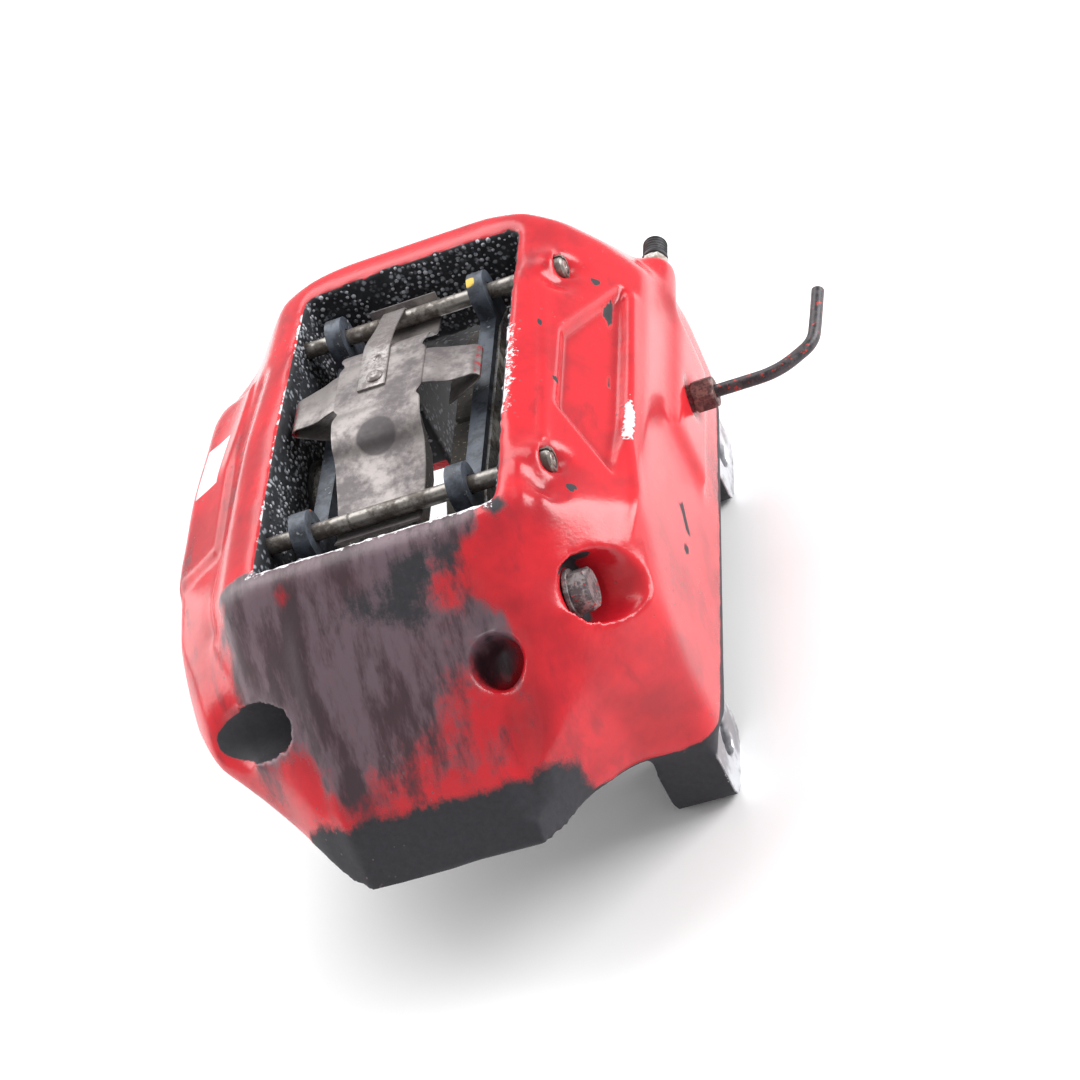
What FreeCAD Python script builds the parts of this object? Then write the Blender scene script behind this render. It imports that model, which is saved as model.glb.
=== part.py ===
import FreeCAD, Part
import math
import os

import Sketcher

# Fixed six-piston brake caliper with its pads, pins, spring, bleed screws and brake pipe.
# Sizes are in mm. The layout is drawn about the middle of the two pad pins: X runs along the
# disc's axis towards the vehicle (inboard), Y along the disc's rim, Z outwards from the disc's
# centre. Every sub-part is then placed by origin_x, origin_y and origin_z, which puts the
# model's origin at the middle of the two lug holes, on the lugs' mounting faces.

SHEET = "Dimensions"

DIMENSIONS = [
    # where the layout's own zero lies in the model's frame
    ("origin_x", -78.0),
    ("origin_y", 5.5),
    ("origin_z", 109.0),
    # the disc that the caliper straddles
    ("disc_centre_z", -187.0),
    ("disc_slot_radius", 179.0),
    ("disc_slot_width", 35.0),
    ("far_shoulder_reach", 7.0),
    # window over the pads, and the cavity that the pads slide in
    ("window_outboard_x", -41.0),
    ("window_inboard_x", 43.0),
    ("window_half_length", 78.0),
    ("window_floor_z", -30.0),
    ("cavity_half_width", 40.0),
    ("cavity_half_length", 65.0),
    ("cavity_floor_z", -100.0),
    ("open_top_z", 40.0),
    # piston bores
    ("bore_row_z", -33.0),
    ("bore_pitch", 41.5),
    ("bore_depth", 31.0),
    ("bore_radius_leading", 15.0),
    ("bore_radius_middle", 17.0),
    ("bore_radius_trailing", 19.0),
    ("bore_clearance", 0.05),
    ("piston_front_x", -32.2),
    ("piston_length", 34.0),
    ("piston_wall", 4.0),
    ("piston_floor", 7.0),
    ("piston_chamfer", 0.6),
    ("boot_groove_depth", 1.2),
    ("boot_groove_start", 2.0),
    ("boot_groove_end", 4.0),
    ("seal_depth", 2.4),
    ("seal_width", 3.4),
    ("seal_setback", 8.0),
    ("seal_fit", 0.05),
    ("wiper_depth", 2.4),
    ("wiper_width", 2.6),
    ("gallery_radius", 2.0),
    ("gallery_x", 68.0),
    ("gallery_overrun", 22.0),
    ("gallery_joining_y", 91.5),
    # brake pads
    ("plate_face_x", -24.9),
    ("plate_thickness", 6.1),
    ("plate_half_length", 63.5),
    ("plate_top_z", -6.0),
    ("plate_bottom_z", -62.0),
    ("plate_foot_half_length", 54.0),
    ("ear_radius", 8.0),
    ("ear_hole_radius", 3.4),
    ("lining_thickness", 9.3),
    ("lining_half_length", 58.0),
    ("lining_foot_half_length", 49.0),
    ("lining_top_z", -12.0),
    ("lining_bottom_z", -58.0),
    ("lining_groove_width", 2.5),
    ("shim_thickness", 0.9),
    ("shim_half_length", 62.0),
    ("shim_foot_half_length", 52.5),
    ("abutment_thickness", 0.8),
    ("abutment_top_z", -14.0),
    ("abutment_bottom_z", -56.0),
    # pad pins
    ("pin_half_pitch", 55.6),
    ("pin_radius", 3.0),
    ("pin_outboard_x", -50.0),
    ("pin_inboard_x", 60.0),
    ("pin_fit", 0.05),
    ("pin_hole_overrun", 20.0),
    ("pin_groove_x", -12.0),
    ("pin_groove_width", 0.8),
    ("pin_groove_depth", 0.35),
    ("pin_boss_wall", 3.4),
    ("pin_boss_length", 18.0),
    ("sleeve_radius", 4.6),
    ("sleeve_length", 9.0),
    # pad spring
    ("spring_x", -3.0),
    ("spring_half_width", 16.5),
    ("spring_thickness", 0.8),
    ("spring_end_y", 62.5),
    ("spring_crest_z", 10.0),
    ("spring_pin_z", -3.6),
    ("wing_half_length", 35.5),
    ("wing_near_y", -3.5),
    ("wing_far_y", 17.0),
    ("wing_z", 6.0),
    ("rivet_x", -4.5),
    ("rivet_y", 7.0),
    ("rivet_head_radius", 3.0),
    ("rivet_shank_radius", 1.8),
    ("hook_x", -5.5),
    ("hook_half_width", 5.2),
    ("hook_near_y", 1.5),
    ("sheet_gap", 0.05),
    ("hook_clearance", 0.3),
    # mounting lugs
    ("lug_face_x", 78.0),
    ("lug_back_x", 56.0),
    ("lug_half_spacing", 78.5),
    ("lug_centre_y", -5.5),
    ("lug_hole_z", -109.0),
    ("lug_half_width", 18.0),
    ("lug_bottom_z", -122.0),
    ("lug_top_z", -80.0),
    ("lug_corner_radius", 7.0),
    ("lug_hole_radius", 6.5),
    # bleed screws
    ("bleed_x", 78.0),
    ("bleed_outboard_x", -76.0),
    ("bleed_z", -39.0),
    ("bleed_outboard_z", -50.0),
    ("bleed_seat_y", 98.0),
    ("bleed_outboard_seat_y", 112.0),
    ("bleed_boss_radius", 8.5),
    ("bleed_boss_length", 26.0),
    ("bleed_spot_depth", 30.0),
    ("bleed_thread_radius", 4.0),
    ("bleed_thread_length", 13.0),
    ("bleed_hex_flats", 9.0),
    ("bleed_hex_length", 5.0),
    ("bleed_nipple_radius", 3.2),
    ("bleed_nipple_length", 10.0),
    ("bleed_bore_radius", 1.0),
    ("cap_radius", 4.7),
    ("cap_length", 13.0),
    ("cap_gap", 0.3),
    # pipe port and brake pipe
    ("port_y", 38.0),
    ("port_z", -58.0),
    ("port_face_x", 86.0),
    ("port_pad_near_y", 6.0),
    ("port_pad_far_y", 74.0),
    ("port_pad_bottom_z", -74.0),
    ("port_pad_top_z", -44.0),
    ("port_pad_back_x", 70.0),
    ("port_hole_radius", 5.0),
    ("port_hole_depth", 14.0),
    ("nut_flats", 11.0),
    ("nut_hex_length", 8.0),
    ("nut_shank_length", 11.0),
    ("pipe_radius", 2.4),
    ("pipe_bore_radius", 1.5),
    ("pipe_straight_x", 118.0),
    ("pipe_bend_x", 131.5),
    ("pipe_bend_y", 60.0),
    ("pipe_end_x", 135.5),
    ("pipe_end_y", 74.0),
    # bracket bolt in its spot-faced recess
    ("bolt_y", -94.0),
    ("bolt_z", -24.5),
    ("bolt_face_x", 57.0),
    ("bolt_recess_radius", 11.5),
    ("bolt_recess_length", 40.0),
    ("bolt_radius", 4.0),
    ("bolt_length", 22.0),
    ("bolt_flats", 13.0),
    ("bolt_head_height", 6.5),
    ("washer_radius", 8.0),
    ("washer_thickness", 1.6),
    # cored recesses in the near end
    ("core_y", -107.0),
    ("core_z", -33.0),
    ("core_radius", 9.5),
    ("core_end_x", -40.0),
    ("core_mouth_x", -100.0),
    ("dowel_x", 32.5),
    ("dowel_y", -125.0),
    ("dowel_z", -12.0),
    ("dowel_radius", 8.5),
    ("dowel_depth", 14.0),
    ("dowel_tilt", 38.0),
]

# The casting's outer skin is a ruled loft through sections square to the disc's axis. Each
# row gives a section's X, the height of its middle, and then (Y, Z) of its shoulder, knee,
# tip, heel and belly on the near side. The far side is its mirror image, except that its
# shoulder reaches further out by far_shoulder_reach.
SECTION_POINTS = ["shoulder", "knee", "tip", "heel", "belly"]
SECTIONS = [
    (-86.0, -11.0, (-38, -13), (-64, -20), (-76, -30), (-88, -43), (-74, -58)),
    (-78.0, -8.0, (-52, -12), (-80, -22), (-92, -31), (-104, -46), (-88, -62)),
    (-68.0, -3.0, (-64, -9), (-92, -24), (-103, -35), (-112, -53), (-94, -67)),
    (-54.0, 8.0, (-82, 4.5), (-106, -29), (-118, -44), (-125, -64), (-102, -72)),
    (-42.0, 10.5, (-84, 8), (-112, -25), (-132, -50), (-140, -70), (-108, -74)),
    (-29.0, 11.0, (-86, 9), (-112, -18), (-141, -52), (-150, -73), (-120, -76)),
    (31.0, 11.0, (-86, 9), (-112, -18), (-141, -52), (-151, -72), (-120, -77)),
    (45.0, 10.0, (-82, 8.5), (-110, -20), (-132, -50), (-127, -80), (-108, -86)),
    (58.0, 3.0, (-76, 3), (-107, -22), (-118, -48), (-108, -88), (-96, -98)),
    (70.0, -9.0, (-72, -9), (-100, -28), (-110, -56), (-103, -94), (-90, -101)),
    (82.0, -21.0, (-64, -22), (-90, -40), (-99, -64), (-97, -93), (-84, -99)),
]

BORES = [("leading", -1), ("middle", 0), ("trailing", 1)]
SIDES = [("outboard", -1), ("inboard", 1)]

doc = FreeCAD.newDocument("brake_caliper")
sheet = doc.addObject("Spreadsheet::Sheet", SHEET)
sub_parts = []


def fill_sheet():
    rows = list(DIMENSIONS)
    for index, section in enumerate(SECTIONS):
        rows.append(("section_%d_station" % index, section[0]))
        rows.append(("section_%d_middle" % index, section[1]))
        for name, (y, z) in zip(SECTION_POINTS, section[2:]):
            rows.append(("section_%d_%s_y" % (index, name), y))
            rows.append(("section_%d_%s_z" % (index, name), z))
    for row, (alias, value) in enumerate(rows, start=1):
        sheet.set("A%d" % row, alias.replace("_", " "))
        sheet.set("B%d" % row, str(value))
        sheet.setAlias("B%d" % row, alias)
    doc.recompute()


def dim(alias):
    return float(sheet.get(alias))


def cell(text):
    """Put the sheet's name before each alias in an expression."""
    words = text.replace("(", " ( ").replace(")", " ) ").split()
    known = [word if word.replace(".", "").isdigit() or word in "+-*/()" else SHEET + "." + word
             for word in words]
    return " ".join(known)


def bind(obj, prop, text):
    obj.setExpression(prop, cell(text))


def offset_name(text, origin):
    return origin if text == "0" else "%s + %s" % (origin, text)


def place(obj, x="0", y="0", z="0", turn=0.0, axis=(0, 0, 1)):
    """Turn a sub-part about its own origin, then put it in the model's frame."""
    rotation = FreeCAD.Rotation(FreeCAD.Vector(*axis), turn)
    obj.Placement = FreeCAD.Placement(FreeCAD.Vector(0, 0, 0), rotation)
    bind(obj, "Placement.Base.x", offset_name(x, "origin_x"))
    bind(obj, "Placement.Base.y", offset_name(y, "origin_y"))
    bind(obj, "Placement.Base.z", offset_name(z, "origin_z"))


def keep(obj, label):
    obj.Label = label
    sub_parts.append(obj)
    return obj


def new_body(label):
    return keep(doc.addObject("PartDesign::Body", "Body_" + label), label)


def origin_plane(body, role):
    return [item for item in body.Origin.OriginFeatures if item.Role == role][0]


def value_of(text):
    """Work out an expression of aliases and numbers, to start a sketch near its solution."""
    total = 0.0
    sign = 1.0
    scale = 1.0
    number = None
    for word in text.replace("(", " ").replace(")", " ").split() + ["+"]:
        if word in "+-":
            if number is not None:
                total += sign * number
            sign = 1.0 if word == "+" else -1.0
            number = None
        elif word in "*/":
            scale = 1.0 if word == "*" else -1.0
        else:
            term = float(word) if word.replace(".", "").isdigit() else dim(word)
            number = term if number is None else number * term ** scale
    return total


def outline(body, name, role, points):
    """A closed sketch of straight lines, with each corner held by two bound distances."""
    sketch = body.newObject("Sketcher::SketchObject", name)
    sketch.AttachmentSupport = [(origin_plane(body, role), "")]
    sketch.MapMode = "FlatFace"
    corners = [FreeCAD.Vector(value_of(u), value_of(v), 0) for u, v in points]
    count = len(corners)
    for index in range(count):
        sketch.addGeometry(Part.LineSegment(corners[index], corners[(index + 1) % count]), False)
    for index in range(count):
        sketch.addConstraint(Sketcher.Constraint("Coincident", index, 2, (index + 1) % count, 1))
    for index, (u, v) in enumerate(points):
        corner = corners[index]
        for kind, text, start in (("DistanceX", u, corner.x), ("DistanceY", v, corner.y)):
            number = sketch.addConstraint(Sketcher.Constraint(kind, -1, 1, index, 1, start))
            sketch.setExpression("Constraints[%d]" % number, cell(text))
    doc.recompute()
    return sketch


def circle_sketch(body, name, role, circles):
    """Circles at bound centres, with bound radii."""
    sketch = body.newObject("Sketcher::SketchObject", name)
    sketch.AttachmentSupport = [(origin_plane(body, role), "")]
    sketch.MapMode = "FlatFace"
    for index, (u, v, radius) in enumerate(circles):
        centre = FreeCAD.Vector(value_of(u), value_of(v), 0)
        sketch.addGeometry(Part.Circle(centre, FreeCAD.Vector(0, 0, 1), value_of(radius)), False)
        for kind, text, start in (("DistanceX", u, centre.x), ("DistanceY", v, centre.y)):
            number = sketch.addConstraint(Sketcher.Constraint(kind, -1, 1, index, 3, start))
            sketch.setExpression("Constraints[%d]" % number, cell(text))
        number = sketch.addConstraint(Sketcher.Constraint("Radius", index, value_of(radius)))
        sketch.setExpression("Constraints[%d]" % number, cell(radius))
    doc.recompute()
    return sketch


def hexagon_sketch(body, name, role, flats):
    """A regular hexagon about the sketch's origin, sized across its flats."""
    half = flats + " / 2"
    corner = flats + " / 1.7320508"
    half_corner = flats + " / 3.4641016"
    points = [(corner, "0"), (half_corner, half), ("0 - " + half_corner, half),
              ("0 - " + corner, "0"), ("0 - " + half_corner, "0 - " + half),
              (half_corner, "0 - " + half)]
    return outline(body, name, role, points)


def pad_feature(body, sketch, length, offset=None, both_ways=False, reversed_way=False):
    pad = body.newObject("PartDesign::Pad", "Pad_" + sketch.Name)
    pad.Profile = sketch
    bind(pad, "Length", length)
    pad.Midplane = both_ways
    pad.Reversed = reversed_way
    if offset is not None:
        bind(sketch, "AttachmentOffset.Base.z", offset)
    doc.recompute()
    return pad


def revolve_feature(body, sketch, axis="H_Axis"):
    revolution = body.newObject("PartDesign::Revolution", "Turn_" + sketch.Name)
    revolution.Profile = sketch
    revolution.ReferenceAxis = (sketch, [axis])
    revolution.Angle = 360
    doc.recompute()
    return revolution


def pocket_through(body, sketch):
    before = body.Shape.Volume
    pocket = body.newObject("PartDesign::Pocket", "Pocket_" + sketch.Name)
    pocket.Profile = sketch
    pocket.Type = "ThroughAll"
    pocket.Midplane = True
    doc.recompute()
    if not body.Shape.Volume < before:
        raise RuntimeError("pocket cut nothing: " + sketch.Name)
    return pocket


def turned_part(label, points):
    """A body of revolution about its own X axis, from (x, radius) points."""
    body = new_body(label)
    revolve_feature(body, outline(body, label + "_section", "XZ_Plane", points))
    return body


def cylinder(name, radius, height, x="0", y="0", z="0", axis=(0, 1, 0), turn=90.0):
    tool = doc.addObject("Part::Cylinder", name)
    bind(tool, "Radius", radius)
    bind(tool, "Height", height)
    rotation = FreeCAD.Rotation(FreeCAD.Vector(*axis), turn)
    tool.Placement = FreeCAD.Placement(FreeCAD.Vector(0, 0, 0), rotation)
    bind(tool, "Placement.Base.x", x)
    bind(tool, "Placement.Base.y", y)
    bind(tool, "Placement.Base.z", z)
    return tool


def block(name, low, high):
    """A box between two corners, each given as three expressions."""
    tool = doc.addObject("Part::Box", name)
    for prop, start, end in zip(("Length", "Width", "Height"), low, high):
        bind(tool, prop, "%s - ( %s )" % (end, start))
    for prop, start in zip(("x", "y", "z"), low):
        bind(tool, "Placement.Base." + prop, start)
    return tool


def section_wire(index):
    x = dim("section_%d_station" % index)
    near = []
    for name in SECTION_POINTS:
        y = dim("section_%d_%s_y" % (index, name))
        z = dim("section_%d_%s_z" % (index, name))
        near.append(FreeCAD.Vector(x, y, z))
    far = [FreeCAD.Vector(point.x, -point.y, point.z) for point in near]
    far[0].y += dim("far_shoulder_reach")
    middle = FreeCAD.Vector(x, 0, dim("section_%d_middle" % index))
    ring = near[::-1] + [middle] + far
    return Part.makePolygon(ring + ring[:1])


def casting_blank():
    """The solid skin before machining. A loft of this many corners has no simpler feature."""
    blank = doc.addObject("Part::Feature", "casting_blank")
    wires = [section_wire(index) for index in range(len(SECTIONS))]
    blank.Shape = Part.makeLoft(wires, True, True)
    return blank


def lug(name, side):
    centre = "lug_centre_y %s lug_half_spacing" % side
    foot = block(name, ("lug_back_x", centre + " - lug_half_width", "lug_bottom_z"),
                 ("lug_face_x", centre + " + lug_half_width", "lug_top_z"))
    doc.recompute()
    rounded = doc.addObject("Part::Fillet", name + "_rounded")
    rounded.Base = foot
    radius = dim("lug_corner_radius")
    low_edges = [number for number, edge in enumerate(foot.Shape.Edges, start=1)
                 if abs(edge.CenterOfMass.z - dim("lug_bottom_z")) < 0.01 and edge.Length < 30
                 and abs(edge.CenterOfMass.x - (dim("lug_back_x") + dim("lug_face_x")) / 2) < 0.01]
    rounded.Edges = [(number, radius, radius) for number in low_edges]
    return rounded


def bore_y(step):
    return "0 - bore_pitch" if step < 0 else "%d * bore_pitch" % step


def bore_tools():
    """The piston bores, with the grooves for their seals and wipers."""
    tools = []
    for side, sign in SIDES:
        mouth = "0 - cavity_half_width" if sign < 0 else "cavity_half_width"
        turn = -90.0 if sign < 0 else 90.0
        for position, step in BORES:
            y = bore_y(step)
            name = "bore_%s_%s" % (side, position)
            radius = "bore_radius_" + position
            back = "-" if sign < 0 else "+"
            seal_x = "%s %s seal_setback" % (mouth, back)
            tools.append(cylinder(name, radius, "bore_depth", mouth, y, "bore_row_z", turn=turn))
            tools.append(cylinder(name + "_seal", radius + " + seal_depth + seal_fit", "seal_width",
                                  seal_x, y, "bore_row_z", turn=turn))
            tools.append(cylinder(name + "_wiper", radius + " + wiper_depth + seal_fit", "wiper_width",
                                  mouth, y, "bore_row_z", turn=turn))
    return tools


def gallery_tools():
    """Drilled passages: one along each bank behind the pistons, and one joining the banks."""
    length = "2 * bore_pitch + gallery_overrun"
    start = "0 - bore_pitch"
    outboard = cylinder("gallery_outboard", "gallery_radius", length, "0 - gallery_x", start,
                        "bore_row_z", axis=(1, 0, 0), turn=-90.0)
    inboard = cylinder("gallery_inboard", "gallery_radius", length, "gallery_x", start,
                       "bore_row_z", axis=(1, 0, 0), turn=-90.0)
    joining = cylinder("gallery_joining", "gallery_radius", "2 * gallery_x", "0 - gallery_x",
                       "gallery_joining_y", "bore_row_z")
    return [outboard, inboard, joining]


def machining_tools():
    tools = [
        cylinder("disc_slot", "disc_slot_radius", "disc_slot_width", "0 - disc_slot_width / 2",
                 "0", "disc_centre_z"),
        block("pad_cavity", ("0 - cavity_half_width", "0 - cavity_half_length", "cavity_floor_z"),
              ("cavity_half_width", "cavity_half_length", "open_top_z")),
        block("window", ("window_outboard_x", "0 - window_half_length", "window_floor_z"),
              ("window_inboard_x", "window_half_length", "open_top_z")),
        cylinder("bolt_recess", "bolt_recess_radius", "bolt_recess_length", "bolt_face_x", "bolt_y",
                 "bolt_z"),
        cylinder("bolt_hole", "bolt_radius", "bolt_length", "bolt_face_x", "bolt_y", "bolt_z", turn=-90.0),
        cylinder("core_pocket", "core_radius", "core_end_x - core_mouth_x", "core_mouth_x", "core_y",
                 "core_z"),
        cylinder("dowel_hole", "dowel_radius", "2 * dowel_depth", "dowel_x",
                 "dowel_y", "dowel_z", axis=(1, 0, 0), turn=180.0 + dim("dowel_tilt")),
        cylinder("port_hole", "port_hole_radius", "port_hole_depth", "port_face_x", "port_y", "port_z",
                 turn=-90.0),
        cylinder("port_drilling", "gallery_radius", "port_face_x - gallery_x", "port_face_x", "port_y",
                 "port_z", turn=-90.0),
        cylinder("bleed_spot_face", "bleed_boss_radius", "bleed_spot_depth", "bleed_x", "bleed_seat_y",
                 "bleed_z", axis=(1, 0, 0), turn=-90.0),
        cylinder("bleed_hole_inboard", "bleed_thread_radius", "bleed_thread_length + 1", "bleed_x",
                 "bleed_seat_y", "bleed_z", axis=(1, 0, 0), turn=90.0),
        cylinder("bleed_hole_outboard", "bleed_thread_radius", "bleed_thread_length + 1",
                 "bleed_outboard_x", "bleed_outboard_seat_y", "bleed_outboard_z", axis=(1, 0, 0),
                 turn=90.0),
    ]
    for name, sign in (("near", "0 - pin_half_pitch"), ("far", "pin_half_pitch")):
        tools.append(cylinder("pin_hole_" + name, "pin_radius + pin_fit",
                              "pin_inboard_x - pin_outboard_x + pin_hole_overrun",
                              "pin_outboard_x - pin_fit", sign, "0"))
        tools.append(cylinder("sleeve_seat_" + name, "sleeve_radius + pin_fit",
                              "sleeve_length + pin_hole_overrun", "pin_inboard_x - sleeve_length",
                              sign, "0"))
    for name, side in (("near", "-"), ("far", "+")):
        tools.append(cylinder("lug_hole_" + name, "lug_hole_radius", "40", "lug_back_x - 10",
                              "lug_centre_y %s lug_half_spacing" % side, "lug_hole_z"))
    return tools + bore_tools() + gallery_tools()


def bosses():
    """Round bosses for the pins, the pipe port and the two bleed screws."""
    found = [
        block("port_pad", ("port_pad_back_x", "port_pad_near_y", "port_pad_bottom_z"),
              ("port_face_x", "port_pad_far_y", "port_pad_top_z")),
        cylinder("bleed_boss_inboard", "bleed_boss_radius", "bleed_boss_length", "bleed_x", "bleed_seat_y",
                 "bleed_z", axis=(1, 0, 0), turn=90.0),
        cylinder("bleed_boss_outboard", "bleed_boss_radius", "bleed_boss_length", "bleed_outboard_x",
                 "bleed_outboard_seat_y", "bleed_outboard_z", axis=(1, 0, 0), turn=90.0),
    ]
    for name, y in (("near", "0 - pin_half_pitch"), ("far", "pin_half_pitch")):
        found.append(cylinder("pin_boss_" + name, "sleeve_radius + pin_boss_wall", "pin_boss_length",
                              "pin_inboard_x - pin_boss_length - 0.5", y, "0"))
    return found


def caliper_body():
    solids = doc.addObject("Part::MultiFuse", "casting")
    solids.Shapes = [casting_blank(), lug("lug_near", "-"), lug("lug_far", "+")] + bosses()
    tools = doc.addObject("Part::MultiFuse", "machining")
    tools.Shapes = machining_tools()
    doc.recompute()
    body = doc.addObject("Part::Cut", "caliper_body_cut")
    body.Base = solids
    body.Tool = tools
    place(body)
    return keep(body, "caliper_body")


def piston_set(side, sign, position, step):
    """A cup piston, its square pressure seal and its wiper, for one bore."""
    turn = 0.0 if sign < 0 else 180.0
    y = bore_y(step)
    edge = "0 - " if sign < 0 else ""
    radius = "bore_radius_%s - bore_clearance" % position
    inner = radius + " - piston_wall"
    piston = turned_part("piston_%s_%s" % (side, position), [
        ("0 - piston_length", "0"),
        ("0 - piston_length", radius + " - 1"),
        ("1 - piston_length", radius),
        ("0 - boot_groove_end", radius),
        ("0 - boot_groove_end", radius + " - boot_groove_depth"),
        ("0 - boot_groove_start", radius + " - boot_groove_depth"),
        ("0 - boot_groove_start", radius),
        ("0 - piston_chamfer", radius),
        ("0", radius + " - piston_chamfer"),
        ("0", inner),
        ("piston_floor - piston_length", inner + " - 1"),
        ("piston_floor - piston_length", "0"),
    ])
    front_x = "piston_front_x" if sign < 0 else "0 - piston_front_x"
    place(piston, front_x, y, "bore_row_z", turn)
    mouth = edge + "cavity_half_width"
    bore = "bore_radius_" + position
    seal = turned_part("seal_%s_%s" % (side, position), [
        ("0 - seal_setback", bore + " - 0.02"),
        ("0 - seal_setback", bore + " + seal_depth"),
        ("0 - seal_setback - seal_width", bore + " + seal_depth"),
        ("0 - seal_setback - seal_width", bore + " - 0.02"),
    ])
    place(seal, mouth, y, "bore_row_z", turn)
    wiper = turned_part("wiper_%s_%s" % (side, position), [
        ("0", bore + " + 1.2"),
        ("0", bore + " + wiper_depth"),
        ("0 - wiper_width", bore + " + wiper_depth"),
        ("0 - wiper_width", bore + " + 0.4"),
        ("0 - wiper_width / 2", bore + " + 0.4"),
        ("0 - wiper_width / 4", bore + " - 0.02"),
        ("0 - wiper_width / 8", bore + " - 0.02"),
    ])
    place(wiper, mouth, y, "bore_row_z", turn)


def pad_outline(body, name, half, foot, top, bottom):
    """The pad's face: a block whose lower corners are cut in towards the disc's centre."""
    return outline(body, name, "YZ_Plane", [
        ("0 - " + half, top + " - 4"),
        ("0 - " + half, bottom + " + 16"),
        ("0 - " + foot, bottom + " + 4"),
        ("0 - " + foot + " + 12", bottom),
        (foot + " - 12", bottom),
        (foot, bottom + " + 4"),
        (half, bottom + " + 16"),
        (half, top + " - 4"),
        (half + " - 16", top),
        ("0 - " + half + " + 16", top),
    ])


def ears(body, name):
    return circle_sketch(body, name, "YZ_Plane", [
        ("0 - pin_half_pitch", "0", "ear_radius"),
        ("pin_half_pitch", "0", "ear_radius"),
    ])


def ear_stems(body, name, sign):
    left = "0 - " if sign < 0 else ""
    inner = left + "pin_half_pitch " + ("+" if sign < 0 else "-") + " ear_radius"
    outer = left + "pin_half_pitch " + ("-" if sign < 0 else "+") + " ear_radius"
    return outline(body, name, "YZ_Plane", [
        (inner, "0"), (outer, "0"), (outer, "plate_top_z - 10"), (inner, "plate_top_z - 10")])


def pad_pieces(side, sign):
    """One pad: steel backing plate with two pin ears, friction lining, and a thin shim behind."""
    turn = 0.0 if sign < 0 else 180.0
    face = "plate_face_x" if sign < 0 else "0 - plate_face_x"
    plate = new_body("pad_plate_" + side)
    main = pad_outline(plate, "plate_face_" + side, "plate_half_length", "plate_foot_half_length",
                       "plate_top_z", "plate_bottom_z")
    pad_feature(plate, main, "plate_thickness", reversed_way=True)
    pad_feature(plate, ears(plate, "plate_ears_" + side), "plate_thickness", reversed_way=True)
    for name, end in (("near", -1), ("far", 1)):
        stem = ear_stems(plate, "plate_stem_%s_%s" % (name, side), end)
        pad_feature(plate, stem, "plate_thickness", reversed_way=True)
    holes = circle_sketch(plate, "ear_holes_" + side, "YZ_Plane", [
        ("0 - pin_half_pitch", "0", "ear_hole_radius"), ("pin_half_pitch", "0", "ear_hole_radius")])
    pocket_through(plate, holes)
    place(plate, face, "0", "0", turn)

    lining = new_body("pad_lining_" + side)
    main = pad_outline(lining, "lining_face_" + side, "lining_half_length", "lining_foot_half_length",
                       "lining_top_z", "lining_bottom_z")
    pad_feature(lining, main, "lining_thickness")
    groove = outline(lining, "lining_groove_" + side, "XY_Plane", [
        ("2", "0 - lining_groove_width / 2"), ("40", "0 - lining_groove_width / 2"),
        ("40", "lining_groove_width / 2"), ("2", "lining_groove_width / 2")])
    pocket_through(lining, groove)
    place(lining, face, "0", "0", turn)

    shim = new_body("pad_shim_" + side)
    main = pad_outline(shim, "shim_face_" + side, "shim_half_length", "shim_foot_half_length",
                       "plate_top_z - 3", "plate_bottom_z + 2")
    pad_feature(shim, main, "shim_thickness", reversed_way=True)
    back = "%s %s plate_thickness" % (face, "-" if sign < 0 else "+")
    place(shim, back, "0", "0", turn)


def pad_pins():
    """Two plain retaining pins, each with a shallow ring groove, and their split sleeves."""
    for name, y in (("near", "0 - pin_half_pitch"), ("far", "pin_half_pitch")):
        pin = turned_part("retaining_pin_" + name, [
            ("pin_outboard_x", "0"), ("pin_outboard_x", "pin_radius - 0.6"),
            ("pin_outboard_x + 0.6", "pin_radius"),
            ("pin_groove_x", "pin_radius"), ("pin_groove_x", "pin_radius - pin_groove_depth"),
            ("pin_groove_x + pin_groove_width", "pin_radius - pin_groove_depth"),
            ("pin_groove_x + pin_groove_width", "pin_radius"),
            ("pin_inboard_x - 0.8", "pin_radius"), ("pin_inboard_x", "pin_radius - 0.8"),
            ("pin_inboard_x", "0")])
        place(pin, "0", y, "0")
        sleeve = turned_part("pin_sleeve_" + name, [
            ("pin_inboard_x - sleeve_length", "pin_radius + pin_fit"),
            ("pin_inboard_x - sleeve_length", "sleeve_radius"),
            ("pin_inboard_x - 0.8", "sleeve_radius"),
            ("pin_inboard_x", "sleeve_radius - 0.6"),
            ("pin_inboard_x", "pin_radius + pin_fit")])
        slit = outline(sleeve, "slit_" + name, "XY_Plane", [
            ("pin_inboard_x - 30", "0 - 0.6"), ("pin_inboard_x + 5", "0 - 0.6"),
            ("pin_inboard_x + 5", "0.6"), ("pin_inboard_x - 30", "0.6")])
        pocket = sleeve.newObject("PartDesign::Pocket", "Pocket_slit_" + name)
        pocket.Profile = slit
        pocket.Reversed = True
        bind(pocket, "Length", "sleeve_radius + 2")
        doc.recompute()
        place(sleeve, "0", y, "0")


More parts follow.
